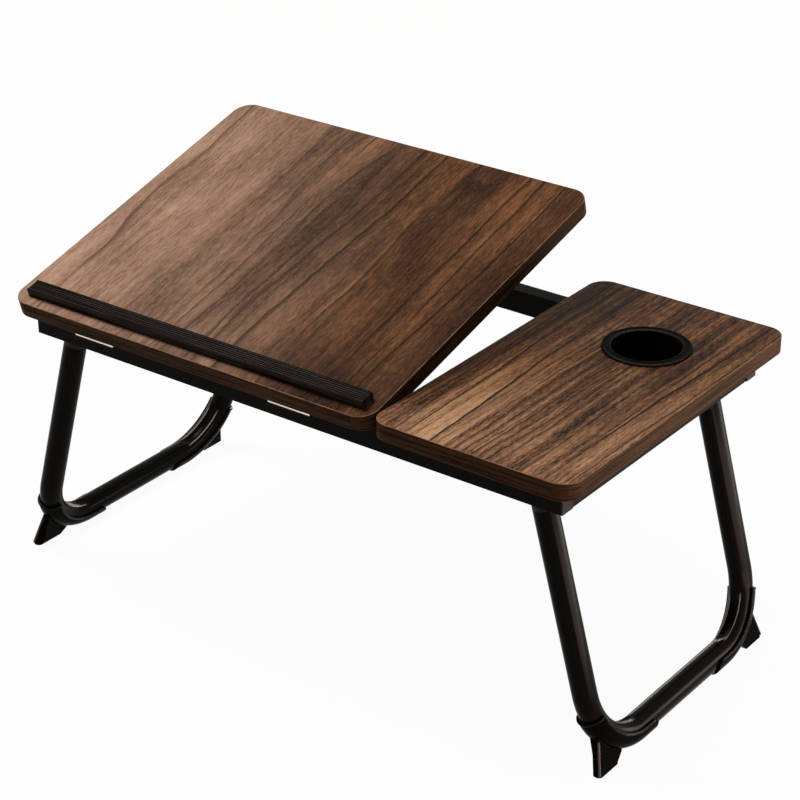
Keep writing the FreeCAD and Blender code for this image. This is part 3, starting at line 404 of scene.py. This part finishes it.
# ================================================================ finishes
def walnut_board_finish(name, tones, fade_and_painted_light_tones, fade_and_painted_light_way, fade_and_painted_light_from, fade_and_painted_light_to, tilt, veneer_cut,
                        **figure_values):
    """Walnut foil on the upper face, plain brown backing foil on the lower one.

    The grain runs along the board, which leans back by the tilt.  The tones are the foil's pale,
    middle and dark colours.  Along the fade and painted light way they come out of the fade and
    painted light tones, over a cloudy border: partly one leaf of veneer passing from sapwood to
    heartwood, partly painted light and sheen that make the board lighter and paler towards one
    side.  The veneer cut is the place in the log that the leaf comes from.
    """
    cloud_width = 0.16
    material = new_material(name)
    tree = material.node_tree
    place = coordinates(tree)
    level = mapped(tree, place["Object"], turn=(-tilt, 0, 0))
    # painted light and sheen over the veneer's own change of tone: the share of the paler tones
    # along a way across the board
    along = plus(tree, dot_product(tree, level, fade_and_painted_light_way),
                 centred(tree, noise(tree, level, (9, 3, 1)), cloud_width))
    share = ramp(tree, along, fade_and_painted_light_to, fade_and_painted_light_from)
    colours = {socket: mix_colours(tree, share, srgb(tone), srgb(fade_and_painted_light_tone))
               for socket, tone, fade_and_painted_light_tone in zip(("Pale", "Middle", "Dark"), tones, fade_and_painted_light_tones)}
    figure = use_group(tree, walnut_figure, Vector=mapped(tree, level, place=veneer_cut),
                       **colours, **figure_values)
    backing = mix_colours(tree, noise(tree, place["Object"], 60.0, 3.0),
                          srgb("3a2a20"), srgb("4a382c"))
    upwards = dot_product(tree, place["Normal"], (0, -math.sin(tilt), math.cos(tilt)))
    colour = mix_colours(tree, ramp(tree, upwards, -0.6, -0.3), backing, figure["Color"])
    join_shader(tree, colour, plus(tree, times(tree, figure["Pores"], 0.2), 0.42),
                bump(tree, figure["Height"], 0.25, 0.12 * MM), IOR=1.11)
    return material


def coated_finish(name, colour, edge_colour, roughness, ior, grain=0.1, metallic=0.0, rub_and_sheen_share=0.5,
                  edge=0.6 * MM, broken=1.0):
    """Paint, plastic or bare metal with fine grain, uneven gloss and lighter edges, partly abrasion
    and partly a painted highlight.
    """
    deep_share = 0.82
    material = new_material(name)
    tree = material.node_tree
    vector = coordinates(tree)["Object"]
    finish = use_group(tree, fine_finish, Vector=vector, Roughness=roughness)
    rub_and_sheen_mask = use_group(tree, edge_rub_and_sheen, Vector=vector, Radius=edge, Break=broken)
    base = srgb(colour)
    deep = tuple(part * deep_share for part in base[:3]) + (1.0,)
    tone = mix_colours(tree, finish["Cloud"], deep, base)
    # edge colour over the edge mask: abrasion, and on the glossy plastics a painted highlight
    tone = mix_colours(tree, times(tree, rub_and_sheen_mask["Mask"], rub_and_sheen_share), tone, srgb(edge_colour))
    join_shader(tree, tone, finish["Roughness"], bump(tree, finish["Height"], grain, 0.08 * MM),
                IOR=ior, Metallic=metallic)
    return material


def hinge_finish(name, bright, dull):
    """Bright zinc, dull along the fixed leaf's lowest edge and the moving leaf's front one."""
    material = coated_finish(name, bright, bright, 0.3, 1.5, metallic=0.9)
    tree = material.node_tree
    _, y, z = parts_of(tree, coordinates(tree)["Object"])
    shining = times(tree, ramp(tree, z, *leaf_bright_z), ramp(tree, y, *leaf_bright_y))
    paint_over(material, minus(tree, 1.0, shining), dull)
    return material


def creased_finish(name, colour, edge_colour, crease_highlight_colour):
    """Paint of the leg tubes, with a painted highlight on the creases beside the dents of the
    bends.

    The UV map gives how far a dent has sunk in, from 0 to 1, and the angle from its middle, in
    radians.
    """
    material = coated_finish(name, colour, edge_colour, 0.2, 1.1, grain=0.03)
    tree = material.node_tree
    sunk, angle, _ = parts_of(tree, coordinates(tree)["UV"])
    # painted highlight: a pale line along each crease, fading to both sides, only where the dent is
    # deep
    line = times(tree, ramp(tree, angle, crease_angle - crease_inner, crease_angle),
                 ramp(tree, angle, crease_angle + crease_outer, crease_angle))
    paint_over(material, times(tree, line, ramp(tree, sunk, 0.45, 1.0)), crease_highlight_colour)
    return material


def edge_band_finish(name, middle, dark, rim, seam):
    """Band glued round a board: grain along it, a pale rim at the top that is a painted highlight,
    a brown seam below.

    The UV map gives the way round the board and the way down the band, both in metres.
    """
    material = new_material(name)
    tree = material.node_tree
    vector = coordinates(tree)["UV"]
    grain = ramp(tree, noise(tree, vector, (60, 1100, 1), roughness=0.6), 0.35, 0.65)
    streaks = ramp(tree, noise(tree, vector, (9, 330, 1)), 0.38, 0.58)
    share = plus(tree, times(tree, grain, 0.4), times(tree, streaks, 0.6))
    colour = mix_colours(tree, share, srgb(dark), srgb(middle))
    down = parts_of(tree, vector)[1]
    broken = ramp(tree, noise(tree, vector, (55, 300, 1), 3.0), 0.2, 0.6)
    # painted highlight along the top rounding of the band, broken here and there
    rim_highlight_part = times(tree, times(tree, ramp(tree, down, *band_rim_highlight), broken), 0.85)
    colour = mix_colours(tree, rim_highlight_part, colour, srgb(rim))
    seam_part = times(tree, ramp(tree, down, *band_seam), 0.6)
    colour = mix_colours(tree, seam_part, colour, srgb(seam))
    join_shader(tree, colour, plus(tree, times(tree, grain, 0.12), 0.36),
                bump(tree, grain, 0.15, 0.1 * MM), IOR=1.06)
    return material


def ribbed_finish(name, groove, ridge_rub_and_sheen, roughness, ior):
    """Moulded plastic whose rib tops are paler, partly from abrasion and partly as a painted
    highlight; V of the UV map runs across the ribs.
    """
    material = coated_finish(name, groove, ridge_rub_and_sheen, roughness, ior, grain=0.02, rub_and_sheen_share=0.25)
    tree = material.node_tree
    place = coordinates(tree)
    across = plus(tree, parts_of(tree, place["UV"])[1], ledge_flat)
    turns = times(tree, across, math.pi * ledge_ribs / (2 * ledge_flat))
    # the rib tops: partly abrasion, partly painted highlight
    crest = ramp(tree, math_node(tree, "ABSOLUTE", math_node(tree, "SINE", turns)), 0.45, 1.0)
    rub_and_sheen_patches = ramp(tree, noise(tree, place["Object"], (14, 420, 420)), 0.25, 0.65)
    paint_over(material, times(tree, crest, rub_and_sheen_patches), ridge_rub_and_sheen)
    return material


# The second set of tones is partly the veneer's own tone and partly painted light: the side board
# lighter towards the front, the tilting board paler and pinker towards its left as painted sheen.
side_walnut = walnut_board_finish(
    "side_board_walnut", ("9b6e49", "5e3d27", "160d08"), ("cca27c", "93694b", "2c1e15"),
    fade_and_painted_light_way=(-0.3, 1.0, 0.0), fade_and_painted_light_from=-0.26, fade_and_painted_light_to=0.0, tilt=0.0,
    veneer_cut=(-0.36, -1.56, 0),
    Wander=0.02, Bands=0.5, Clouds=0.3, Streaks=0.48, Fibres=0.42, Lines=1.0, Rings=85.0,
    Flecks=0.4)
tilt_walnut = walnut_board_finish(
    "tilting_board_walnut", ("8a5c3b", "523521", "1c110a"), ("c29e86", "9e7d68", "5f4739"),
    fade_and_painted_light_way=(1.0, 0.3, 0.0), fade_and_painted_light_from=-0.30, fade_and_painted_light_to=0.05, tilt=tilt_angle,
    veneer_cut=(1.03, -1.2, 0),
    Wander=0.045, Bands=0.4, Clouds=0.4, Streaks=0.25, Fibres=0.36, Lines=0.8, Rings=30.0,
    Flecks=0.35)
# ac8260 and ac8266 are the painted highlights on the bands' top rims
side_band = edge_band_finish("side_board_band", "432d1c", "1c110a", "ac8260", "4c2f1f")
tilt_band = edge_band_finish("tilting_board_band", "422c1b", "120b06", "ac8266", "482b1c")
# b4a89a is the painted highlight along the creases of the bends
leg_paint = creased_finish("leg_paint", "0b0704", "3a3028", "b4a89a")
# 3a322b on the rib tops is partly abrasion, partly painted highlight
ledge_plastic = ribbed_finish("ledge_plastic", "080605", "3a322b", 0.24, 1.1)
# 8a7868 over the cup's lips at full share is a painted highlight
cup_plastic = coated_finish("cup_plastic", "0c0906", "8a7868", 0.14, 1.05, grain=0.02, rub_and_sheen_share=1.0,
                            edge=1.0 * MM, broken=0.5)
# 5a4738 on the edges of the lip beads is partly abrasion, partly painted highlight
bead_plastic = coated_finish("bead_plastic", "17100b", "5a4738", 0.12, 1.17, grain=0.02, rub_and_sheen_share=0.25)
# painted highlight: a pale bead on the fin's outer corner, used on the front feet only
fin_corner_highlight_plastic = coated_finish("fin_corner_painted_highlight", "4c423b", "7a6c60", 0.16, 1.2, grain=0.02)

slot_finish = {
    "frame_steel": coated_finish("rail_paint", "0c0906", "2a241e", 0.5, 1.1),
    "leg_steel": leg_paint,
    "walnut_board": side_walnut,
    "cap_plastic": coated_finish("cap_plastic", "1e1813", "3a342e", 0.5, 1.15),
    # 6a5c50 on the foot's edges is partly abrasion, partly painted highlight
    "foot_plastic": coated_finish("foot_plastic", "070503", "6a5c50", 0.14, 1.045, grain=0.02,
                                  rub_and_sheen_share=0.3),
    "ledge_plastic": ledge_plastic,
    "cup_plastic": cup_plastic,
    "hinge_steel": hinge_finish("hinge_steel", "f4ead8", "1c1712"),
    "fastener_steel": coated_finish("screw_steel", "b8b2a8", "e0dad0", 0.3, 1.5, metallic=1.0),
    "prop_steel": coated_finish("prop_steel", "100d0a", "3a342c", 0.3, 1.2),
    "bearing_plastic": coated_finish("bearing_plastic", "110e0c", "2f2a25", 0.45, 1.2),
}
node_slots = {part["node"]: part["material_slot"] for part in frame["record"]["subparts"]}
for name, node in nodes.items():
    node.data.materials.clear()
    node.data.materials.append(tilt_walnut if name == "tilting_board"
                               else slot_finish[node_slots[name]])


# ================================================================ shapes worked out on a grid
def grid_mesh(name, points, close_u=False, close_v=False, lengths=None):
    """Mesh object from an array of points (rows, columns, 3), each cell of the grid one face.

    With lengths given, the UV map holds one value for each row and one for each column, which
    are mostly how far along the rows and the columns a corner lies.  Rows or columns that meet
    in one point are welded there, and a closed shape that came out inside out is turned round.
    """
    rows, columns = points.shape[:2]
    index = np.arange(rows * columns).reshape(rows, columns)
    if close_u:
        index = np.concatenate([index, index[:1]], axis=0)
    if close_v:
        index = np.concatenate([index, index[:, :1]], axis=1)

    def corners_of(grid):
        """The four corners of each cell of a grid, in the order of its face."""
        return np.stack([grid[:-1, :-1], grid[:-1, 1:], grid[1:, 1:], grid[1:, :-1]], axis=2)

    mesh = bpy.data.meshes.new(name)
    mesh.from_pydata(points.reshape(-1, 3).tolist(), [],
                     corners_of(index).reshape(-1, 4).tolist())
    if lengths is not None:
        place = np.stack(np.meshgrid(*lengths, indexing="ij"), axis=-1)
        layer = mesh.uv_layers.new(name="UVMap")
        layer.data.foreach_set("uv", corners_of(place).reshape(-1).astype(np.float32))
    weld = bmesh.new()
    weld.from_mesh(mesh)
    bmesh.ops.remove_doubles(weld, verts=weld.verts, dist=1e-7)
    if weld.calc_volume(signed=True) < 0:
        bmesh.ops.reverse_faces(weld, faces=weld.faces)
    weld.to_mesh(mesh)
    weld.free()
    mesh.shade_smooth()
    item = bpy.data.objects.new(name, mesh)
    bpy.context.scene.collection.objects.link(item)
    return item


def place_piece(item, body, material, replaces=()):
    """Give a new piece its finish, the body that it rides on and the nodes that it stands for."""
    item.data.materials.append(material)
    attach(item, body)
    if replaces:
        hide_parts(*replaces)


def lengths_round(points):
    """Running length round a closed line of points, with the way back to the first one."""
    steps = np.linalg.norm(np.diff(np.concatenate([points, points[:1]]), axis=0), axis=1)
    return np.concatenate([[0.0], np.cumsum(steps)])


def turned(points, axes, angle, centre):
    """Copy of the points, turned about a centre from one axis towards the other."""
    copy = points.copy()
    first, second = axes
    across, up = points[..., first], points[..., second]
    copy[..., first] = centre[0] + across * math.cos(angle) - up * math.sin(angle)
    copy[..., second] = centre[1] + across * math.sin(angle) + up * math.cos(angle)
    return copy


def leaned(points):
    """Points of the tilting board's parts, from lying flat to leaning back at the hinges."""
    hinge = np.array([0.0, hinge_y, hinge_z])
    return turned(points - hinge, (1, 2), tilt_angle, (hinge_y, hinge_z))


def splayed(side):
    """Function that splays an upright leg, moves it to its pivot and mirrors it for the left."""
    def to_world(points):
        """Points turned by the splay and moved to the pivot, with X times the side."""
        placed = turned(points, (0, 2), leg_splay, (leg_pivot_x, leg_pivot_z))
        placed[..., 0] *= side
        return placed
    return to_world


def arc(centre, radius, start, end, count):
    """Points on an arc in the plane of the profile; angles in degrees, count both ends."""
    angle = np.radians(np.linspace(start, end, count))
    return np.stack([centre[0] + radius * np.cos(angle), centre[1] + radius * np.sin(angle)],
                    axis=-1)


def circle_angles(count):
    """Angles of a number of even steps round a circle."""
    return np.linspace(0, 2 * math.pi, count, endpoint=False)


def stacked(x, y, z):
    """Points from their X, Y and Z, each of them a grid, one row or column of it, or a number."""
    return np.stack(np.broadcast_arrays(x, y, z), axis=-1)


def board_edge_band(name, outline, bottom, lean=False):
    """Band round a board's edge: a D-shaped profile carried along a rectangle with round corners.

    A point is the corner's centre plus the outward direction times (corner radius + how far out),
    at the profile's height.  The profile goes over the band's top rounding, down its face, round
    the lower rounding and back up inside the board.
    """
    left, right, front, rear = outline
    angle = np.radians(np.concatenate([np.linspace(start, start + 90, band_corner_points)
                                       for start in (-90, 0, 90, 180)]))[:, None]
    corner_x = np.array([right, right, left, left]) + board_corner * np.array([-1, -1, 1, 1])
    corner_y = np.array([front, rear, rear, front]) + board_corner * np.array([1, -1, -1, 1])
    corner_x = np.repeat(corner_x, band_corner_points)[:, None]
    corner_y = np.repeat(corner_y, band_corner_points)[:, None]
    bend = board_edge_round + band_proud
    top_bend = (-board_edge_round, bottom + board_thick - board_edge_round)
    low_bend = (-board_edge_round, bottom + board_edge_round)
    profile = np.concatenate([arc(top_bend, bend, 90, 0, band_edge_points),
                              arc(low_bend, bend, 0, -90, band_edge_points)])
    reach = board_corner + profile[:, 0]
    points = stacked(corner_x + np.cos(angle) * reach, corner_y + np.sin(angle) * reach,
                     profile[:, 1])
    lengths = (lengths_round(points[:, band_edge_points + 1, :2]), lengths_round(profile))
    return grid_mesh(name, leaned(points) if lean else points, close_u=True, close_v=True,
                     lengths=lengths)


def ribbed_ledge(name):
    """Stop ledge: a profile with fine round ribs on top, carried along X, drawn in at both ends.

    Each rib is half a sine wave.  Towards an end the profile shrinks towards its own foot along a
    quarter circle, and the last row closes in one point.
    """
    across = np.linspace(-1, 1, 16 * ledge_ribs + 1)
    rib_height = ledge_rib * (np.abs(np.sin(np.pi * ledge_ribs * (across + 1) / 2)) - 1)
    top = np.stack([across * ledge_flat, ledge_high + rib_height], axis=-1)[::-1]
    shoulder = ledge_high - ledge_round
    profile = np.concatenate([
        top, arc((-ledge_flat, shoulder), ledge_round, 95, 180, 6),
        [[-ledge_wide / 2, 0.0], [ledge_wide / 2, 0.0]],
        arc((ledge_flat, shoulder), ledge_round, 0, 85, 6)])
    swing = np.radians(np.linspace(90, 0, 6))
    inset = np.append(0.0, ledge_end * (1 - np.sin(swing)))
    shrink = np.append(0.0, 1 - ledge_end_shrink * (1 - np.cos(swing)))
    along = np.concatenate([ledge_left + inset, (ledge_right - inset)[::-1]])
    size = np.concatenate([shrink, shrink[::-1]])[:, None]
    points = stacked(along[:, None], ledge_front + ledge_wide / 2 + size * profile[:, 0],
                     ledge_seat + size * profile[:, 1])
    return grid_mesh(name, leaned(points), close_v=True,
                     lengths=(along, np.append(profile[:, 0], profile[0, 0])))


def turned_cup(name):
    """Cup liner: a profile turned about the cup's upright axis.

    The profile goes from the middle of the inner floor up the bore, over a thin inner lip, down a
    shallow dish in the flange, over the round outer rim, back under the flange and down the
    outside to the middle of the underside.
    """
    low = cup_top - cup_deep
    floor = low + cup_wall
    outside = cup_bore + cup_wall
    step_from, step_to = cup_bore * cup_step_from, cup_bore * cup_step_to
    dish = np.linspace(0, 1, 9)
    profile = np.concatenate([
        [[0.0, floor], [step_from, floor], [step_from + cup_step, floor + cup_step],
         [step_to, floor + cup_step], [step_to + cup_step, floor]],
        arc((cup_bore - cup_inner_round, floor + cup_inner_round), cup_inner_round, -90, 0, 5),
        arc((cup_bore + cup_lip_round, cup_top - cup_lip_round), cup_lip_round, 180, 60, 6),
        np.stack([dish_from + dish * (dish_to - dish_from),
                  cup_top - dish_sunk - dish_deep * np.sin(dish * math.pi)], axis=-1),
        arc((cup_rim - cup_rim_round, cup_top - cup_rim_round), cup_rim_round, 110, 0, 8),
        [[cup_rim, cup_seat], [outside, cup_seat]],
        arc((outside - cup_outer_round, low + cup_outer_round), cup_outer_round, 0, -90, 6),
        [[0.0, low]]])
    angle = circle_angles(cup_sides)[:, None]
    points = stacked(cup_x + profile[:, 0] * np.cos(angle), cup_y + profile[:, 0] * np.sin(angle),
                     profile[:, 1])
    return grid_mesh(name, points, close_u=True)


def bead(name, path, side, radius, to_world):
    """Round bead along a path, closed by a half ball at each end.

    A point is the path's point plus the radius times (cos a * side + sin a * (tangent x side)).
    At an end the radius follows a quarter circle while the path goes on straight.
    """
    swing = np.radians(np.linspace(90, 0, 5))[:-1, None]
    first, last = path[0] - path[1], path[-1] - path[-2]
    first, last = first / np.linalg.norm(first), last / np.linalg.norm(last)
    whole = np.concatenate([path[0] + first * radius * np.sin(swing), path,
                            (path[-1] + last * radius * np.sin(swing))[::-1]])
    size = np.concatenate([np.cos(swing), np.ones((len(path), 1)), np.cos(swing)[::-1]]) * radius
    size[[0, -1]] = 0.0
    tangent = np.gradient(whole, axis=0)
    tangent /= np.linalg.norm(tangent, axis=1)[:, None]
    other = np.cross(tangent, side)[:, None, :]
    angle = circle_angles(bead_sides)[None, :, None]
    points = whole[:, None, :] + size[:, None, :] * (np.cos(angle) * side + np.sin(angle) * other)
    return grid_mesh(name, to_world(points), close_v=True)


def pressed_tube(name, to_world):
    """U of bent tube, dented on the inner side of both bends.

    A point is the path's point plus the reach times (cos a * inward direction + sin a * X).  The
    reach is the tube's own radius, or in a dent the sunk distance divided by a power of cos a,
    with a soft corner between the two.  A dent sinks in over the first degrees of a bend and
    rises again over the last.  The outer wall runs down the path and the inner one back.
    """
    turn = np.radians(np.linspace(0, 90, bend_rows))
    level = leg_bend - leg_long
    down = np.append(leg_rise, np.linspace(leg_rise - end_row, level, 5)[:-1])
    middle = np.linspace(leg_front + leg_bend, leg_rear - leg_bend, 5)[1:-1]
    y = np.concatenate([down * 0 + leg_front, leg_front + leg_bend * (1 - np.cos(turn)), middle,
                        leg_rear - leg_bend * (1 - np.cos(turn[::-1])), down * 0 + leg_rear])
    z = np.concatenate([down, level - leg_bend * np.sin(turn), middle * 0 - leg_long,
                        level - leg_bend * np.sin(turn[::-1]), down[::-1]])
    lean = np.concatenate([down * 0, turn, middle * 0 + math.pi / 2, math.pi - turn[::-1],
                           down * 0 + math.pi])
    degrees = np.degrees(np.minimum(lean, math.pi - lean))
    sink = np.clip(np.minimum(degrees - dent_from, dent_to - degrees) / dent_fade, 0.0, 1.0)
    sink = sink * sink * (3 - 2 * sink)
    around = circle_angles(tube_sides)
    y, z, lean, sunk = (line[:, None] for line in (y, z, lean, sink))

    def wall(radius):
        """Points of one side of the tube's wall, from its front end to its rear end."""
        clear = 4 * dent_soft * (1 - sunk)      # keeps the dent's bottom outside the round tube
        bottom = radius + clear - sunk * dent_deep
        bottom = bottom / np.maximum(np.cos(around), 0.05) ** dent_crown
        reach = -dent_soft * np.log(np.exp(-radius / dent_soft) + np.exp(-bottom / dent_soft))
        inwards = reach * np.cos(around)
        return stacked(reach * np.sin(around), y + inwards * np.cos(lean),
                       z + inwards * np.sin(lean))

    points = np.concatenate([wall(tube_radius), wall(tube_radius - tube_wall)[::-1]])
    depth = np.concatenate([sink, sink * 0.0, sink[:1]])
    aside = np.append(np.minimum(around, 2 * math.pi - around), 0.0)
    return grid_mesh(name, to_world(points), close_u=True, close_v=True, lengths=(depth, aside))


def foot_lips(side_name, row_name, leg_y, inward, to_world):
    """Beads of one foot: one along each edge of its shell, one round its top, one on its fin.

    The leg is taken upright with its pivot at the origin.  An edge bead goes round the bend at
    the side of the tube and then straight along the floor bar; the top bead is half a circle
    round the tube; the fin's bead rounds the outer corner of its nose.
    """
    across = np.array([1.0, 0.0, 0.0])

    def place_bead(label, path, side, radius, material=bead_plastic):
        """Make one bead of this foot and put it on the leg."""
        item = bead("%s_%s_foot_%s" % (side_name, row_name, label), path, side, radius, to_world)
        place_piece(item, side_name + "_leg", material)

    turn = np.linspace(foot_top_turn, math.pi / 2, 25)
    bend_y, bend_z = leg_y + inward * leg_bend, leg_bend - leg_long
    bar = np.linspace(leg_bend, foot_reach, 5)[1:]
    y = np.concatenate([bend_y - inward * leg_bend * np.cos(turn), leg_y + inward * bar])
    z = np.concatenate([bend_z - leg_bend * np.sin(turn), bar * 0 - leg_long])
    place_bead("inner_lip", stacked(-lip_out, y, z), across, lip_round)
    place_bead("outer_lip", stacked(lip_out, y, z), across, lip_round)

    out_way = np.array([0.0, -inward * math.cos(foot_top_turn), -math.sin(foot_top_turn)])
    along = np.array([0.0, inward * math.sin(foot_top_turn), -math.cos(foot_top_turn)])
    swing = np.linspace(0, math.pi, 33)[:, None]
    top = np.array([0.0, bend_y, bend_z]) + out_way * leg_bend
    place_bead("top_lip", top + lip_out * (np.cos(swing) * across + np.sin(swing) * out_way),
               along, lip_round)

    share = np.linspace(fin_bead_from, fin_bead_to, 9)
    path = stacked(fin_half - fin_corner_inset,
                   leg_y - inward * (fin_nose_out * share - fin_corner_inset),
                   fin_nose_top + (fin_nose_low - fin_nose_top) * share - leg_long)
    # the front feet get the pale corner bead as a painted highlight down the fin's nose
    place_bead("fin_corner", path, across, fin_corner_round,
               fin_corner_highlight_plastic if row_name == "front" else bead_plastic)


place_piece(board_edge_band("side_board_edge_band", side_board, side_board_bottom), "frame",
            side_band)
place_piece(board_edge_band("tilting_board_edge_band", tilting_board, tilting_board_bottom,
                            lean=True), "tilt_top", tilt_band)
place_piece(ribbed_ledge("ribbed_stop_ledge"), "tilt_top", ledge_plastic,
            ("stop_ledge",))
place_piece(turned_cup("lipped_cup_liner"), "frame", cup_plastic, ("cup_holder",))
for side_name, side in (("left", -1), ("right", 1)):
    to_world = splayed(side)
    place_piece(pressed_tube(side_name + "_pressed_leg_tube", to_world), side_name + "_leg",
                leg_paint, (side_name + "_leg_tube",))
    for row_name, leg_y, inward in (("front", leg_front, 1), ("rear", leg_rear, -1)):
        foot_lips(side_name, row_name, leg_y, inward, to_world)


# ================================================================ floor, light and camera
def seen_share(tree):
    """One for rays of the camera, of gloss and through glass, and zero for the rest."""
    rays = add(tree, "ShaderNodeLightPath").outputs
    seen = plus(tree, rays["Is Camera Ray"], rays["Is Glossy Ray"])
    return math_node(tree, "ADD", seen, rays["Is Transmission Ray"], clamp=True)


def make_floor():
    """Round floor: points at radius and angle, flat at height zero."""
    radius = np.linspace(0.0, floor_radius, 12)[:, None]
    angle = circle_angles(64)
    floor = grid_mesh("studio_floor", stacked(radius * np.cos(angle), radius * np.sin(angle), 0.0),
                      close_v=True)
    material = new_material("studio_floor_white")
    tree = material.node_tree
    matte = add(tree, "ShaderNodeBsdfDiffuse", Color=floor_white)
    glow = add(tree, "ShaderNodeEmission", Color=(1, 1, 1, 1), Strength=1.0)
    blend = add(tree, "ShaderNodeMixShader")
    output = add(tree, "ShaderNodeOutputMaterial")
    for value, socket in ((times(tree, seen_share(tree), floor_glow), blend.inputs[0]),
                          (matte.outputs[0], blend.inputs[1]), (glow.outputs[0], blend.inputs[2]),
                          (blend.outputs[0], output.inputs[0])):
        tree.links.new(value, socket)
    floor.data.materials.append(material)


def make_air():
    """Even pale light from all sides, at another strength where the camera or gloss sees it."""
    world = bpy.data.worlds.new("studio_air")
    world.use_nodes = True
    tree = world.node_tree
    background = tree.nodes["Background"]
    background.inputs["Color"].default_value = air_tint
    more = times(tree, seen_share(tree), air_seen_strength - air_strength)
    tree.links.new(plus(tree, more, air_strength), background.inputs["Strength"])
    bpy.context.scene.world = world


def area_light(name, place, aim, size, power, tint):
    """Rectangular lamp at a place, aimed at a point; size is its width and height."""
    lamp = bpy.data.lights.new(name, "AREA")
    lamp.shape = "RECTANGLE"
    lamp.size, lamp.size_y = size
    lamp.energy = power
    lamp.color = tint
    item = bpy.data.objects.new(name, lamp)
    item.location = place
    item.rotation_euler = (Vector(aim) - Vector(place)).to_track_quat("-Z", "Y").to_euler()
    item.visible_camera = False
    bpy.context.scene.collection.objects.link(item)


def make_camera():
    """Camera at its place, looking at its target."""
    camera = bpy.data.cameras.new("desk_camera")
    camera.lens = camera_lens
    camera.sensor_width = camera_sensor
    camera.clip_end = camera_reach
    item = bpy.data.objects.new("desk_camera", camera)
    turn = (Vector(camera_target) - Vector(camera_place)).to_track_quat("-Z", "Y")
    item.matrix_world = (Matrix.Translation(camera_place) @ turn.to_matrix().to_4x4()
                         @ Matrix.Rotation(camera_roll, 4, "Z"))
    bpy.context.scene.collection.objects.link(item)
    bpy.context.scene.camera = item


make_floor()
make_air()
area_light("key_softbox", place=(-1.0, -0.22, 2.2), aim=(-0.1, 0, 0.33), size=(0.9, 0.9),
           power=34.0, tint=(1.0, 0.96, 0.92))
area_light("right_low_card", place=(0.85, 0.25, 0.1), aim=(0.25, 0.14, 0.12), size=(1.25, 0.19),
           power=8.5, tint=(1.0, 0.87, 0.76))
area_light("right_fill", place=(1.9, 0.3, 1.0), aim=(0.1, 0, 0.33), size=(0.9, 0.9),
           power=0.8, tint=(1.0, 0.95, 0.9))
area_light("rear_low_card", place=(-1.7, 2.2, 0.2), aim=(0.2, 0, 0.1), size=(1.2, 0.36),
           power=14.0, tint=(1.0, 0.84, 0.66))
make_camera()
bpy.context.scene.view_settings.view_transform = "Standard"
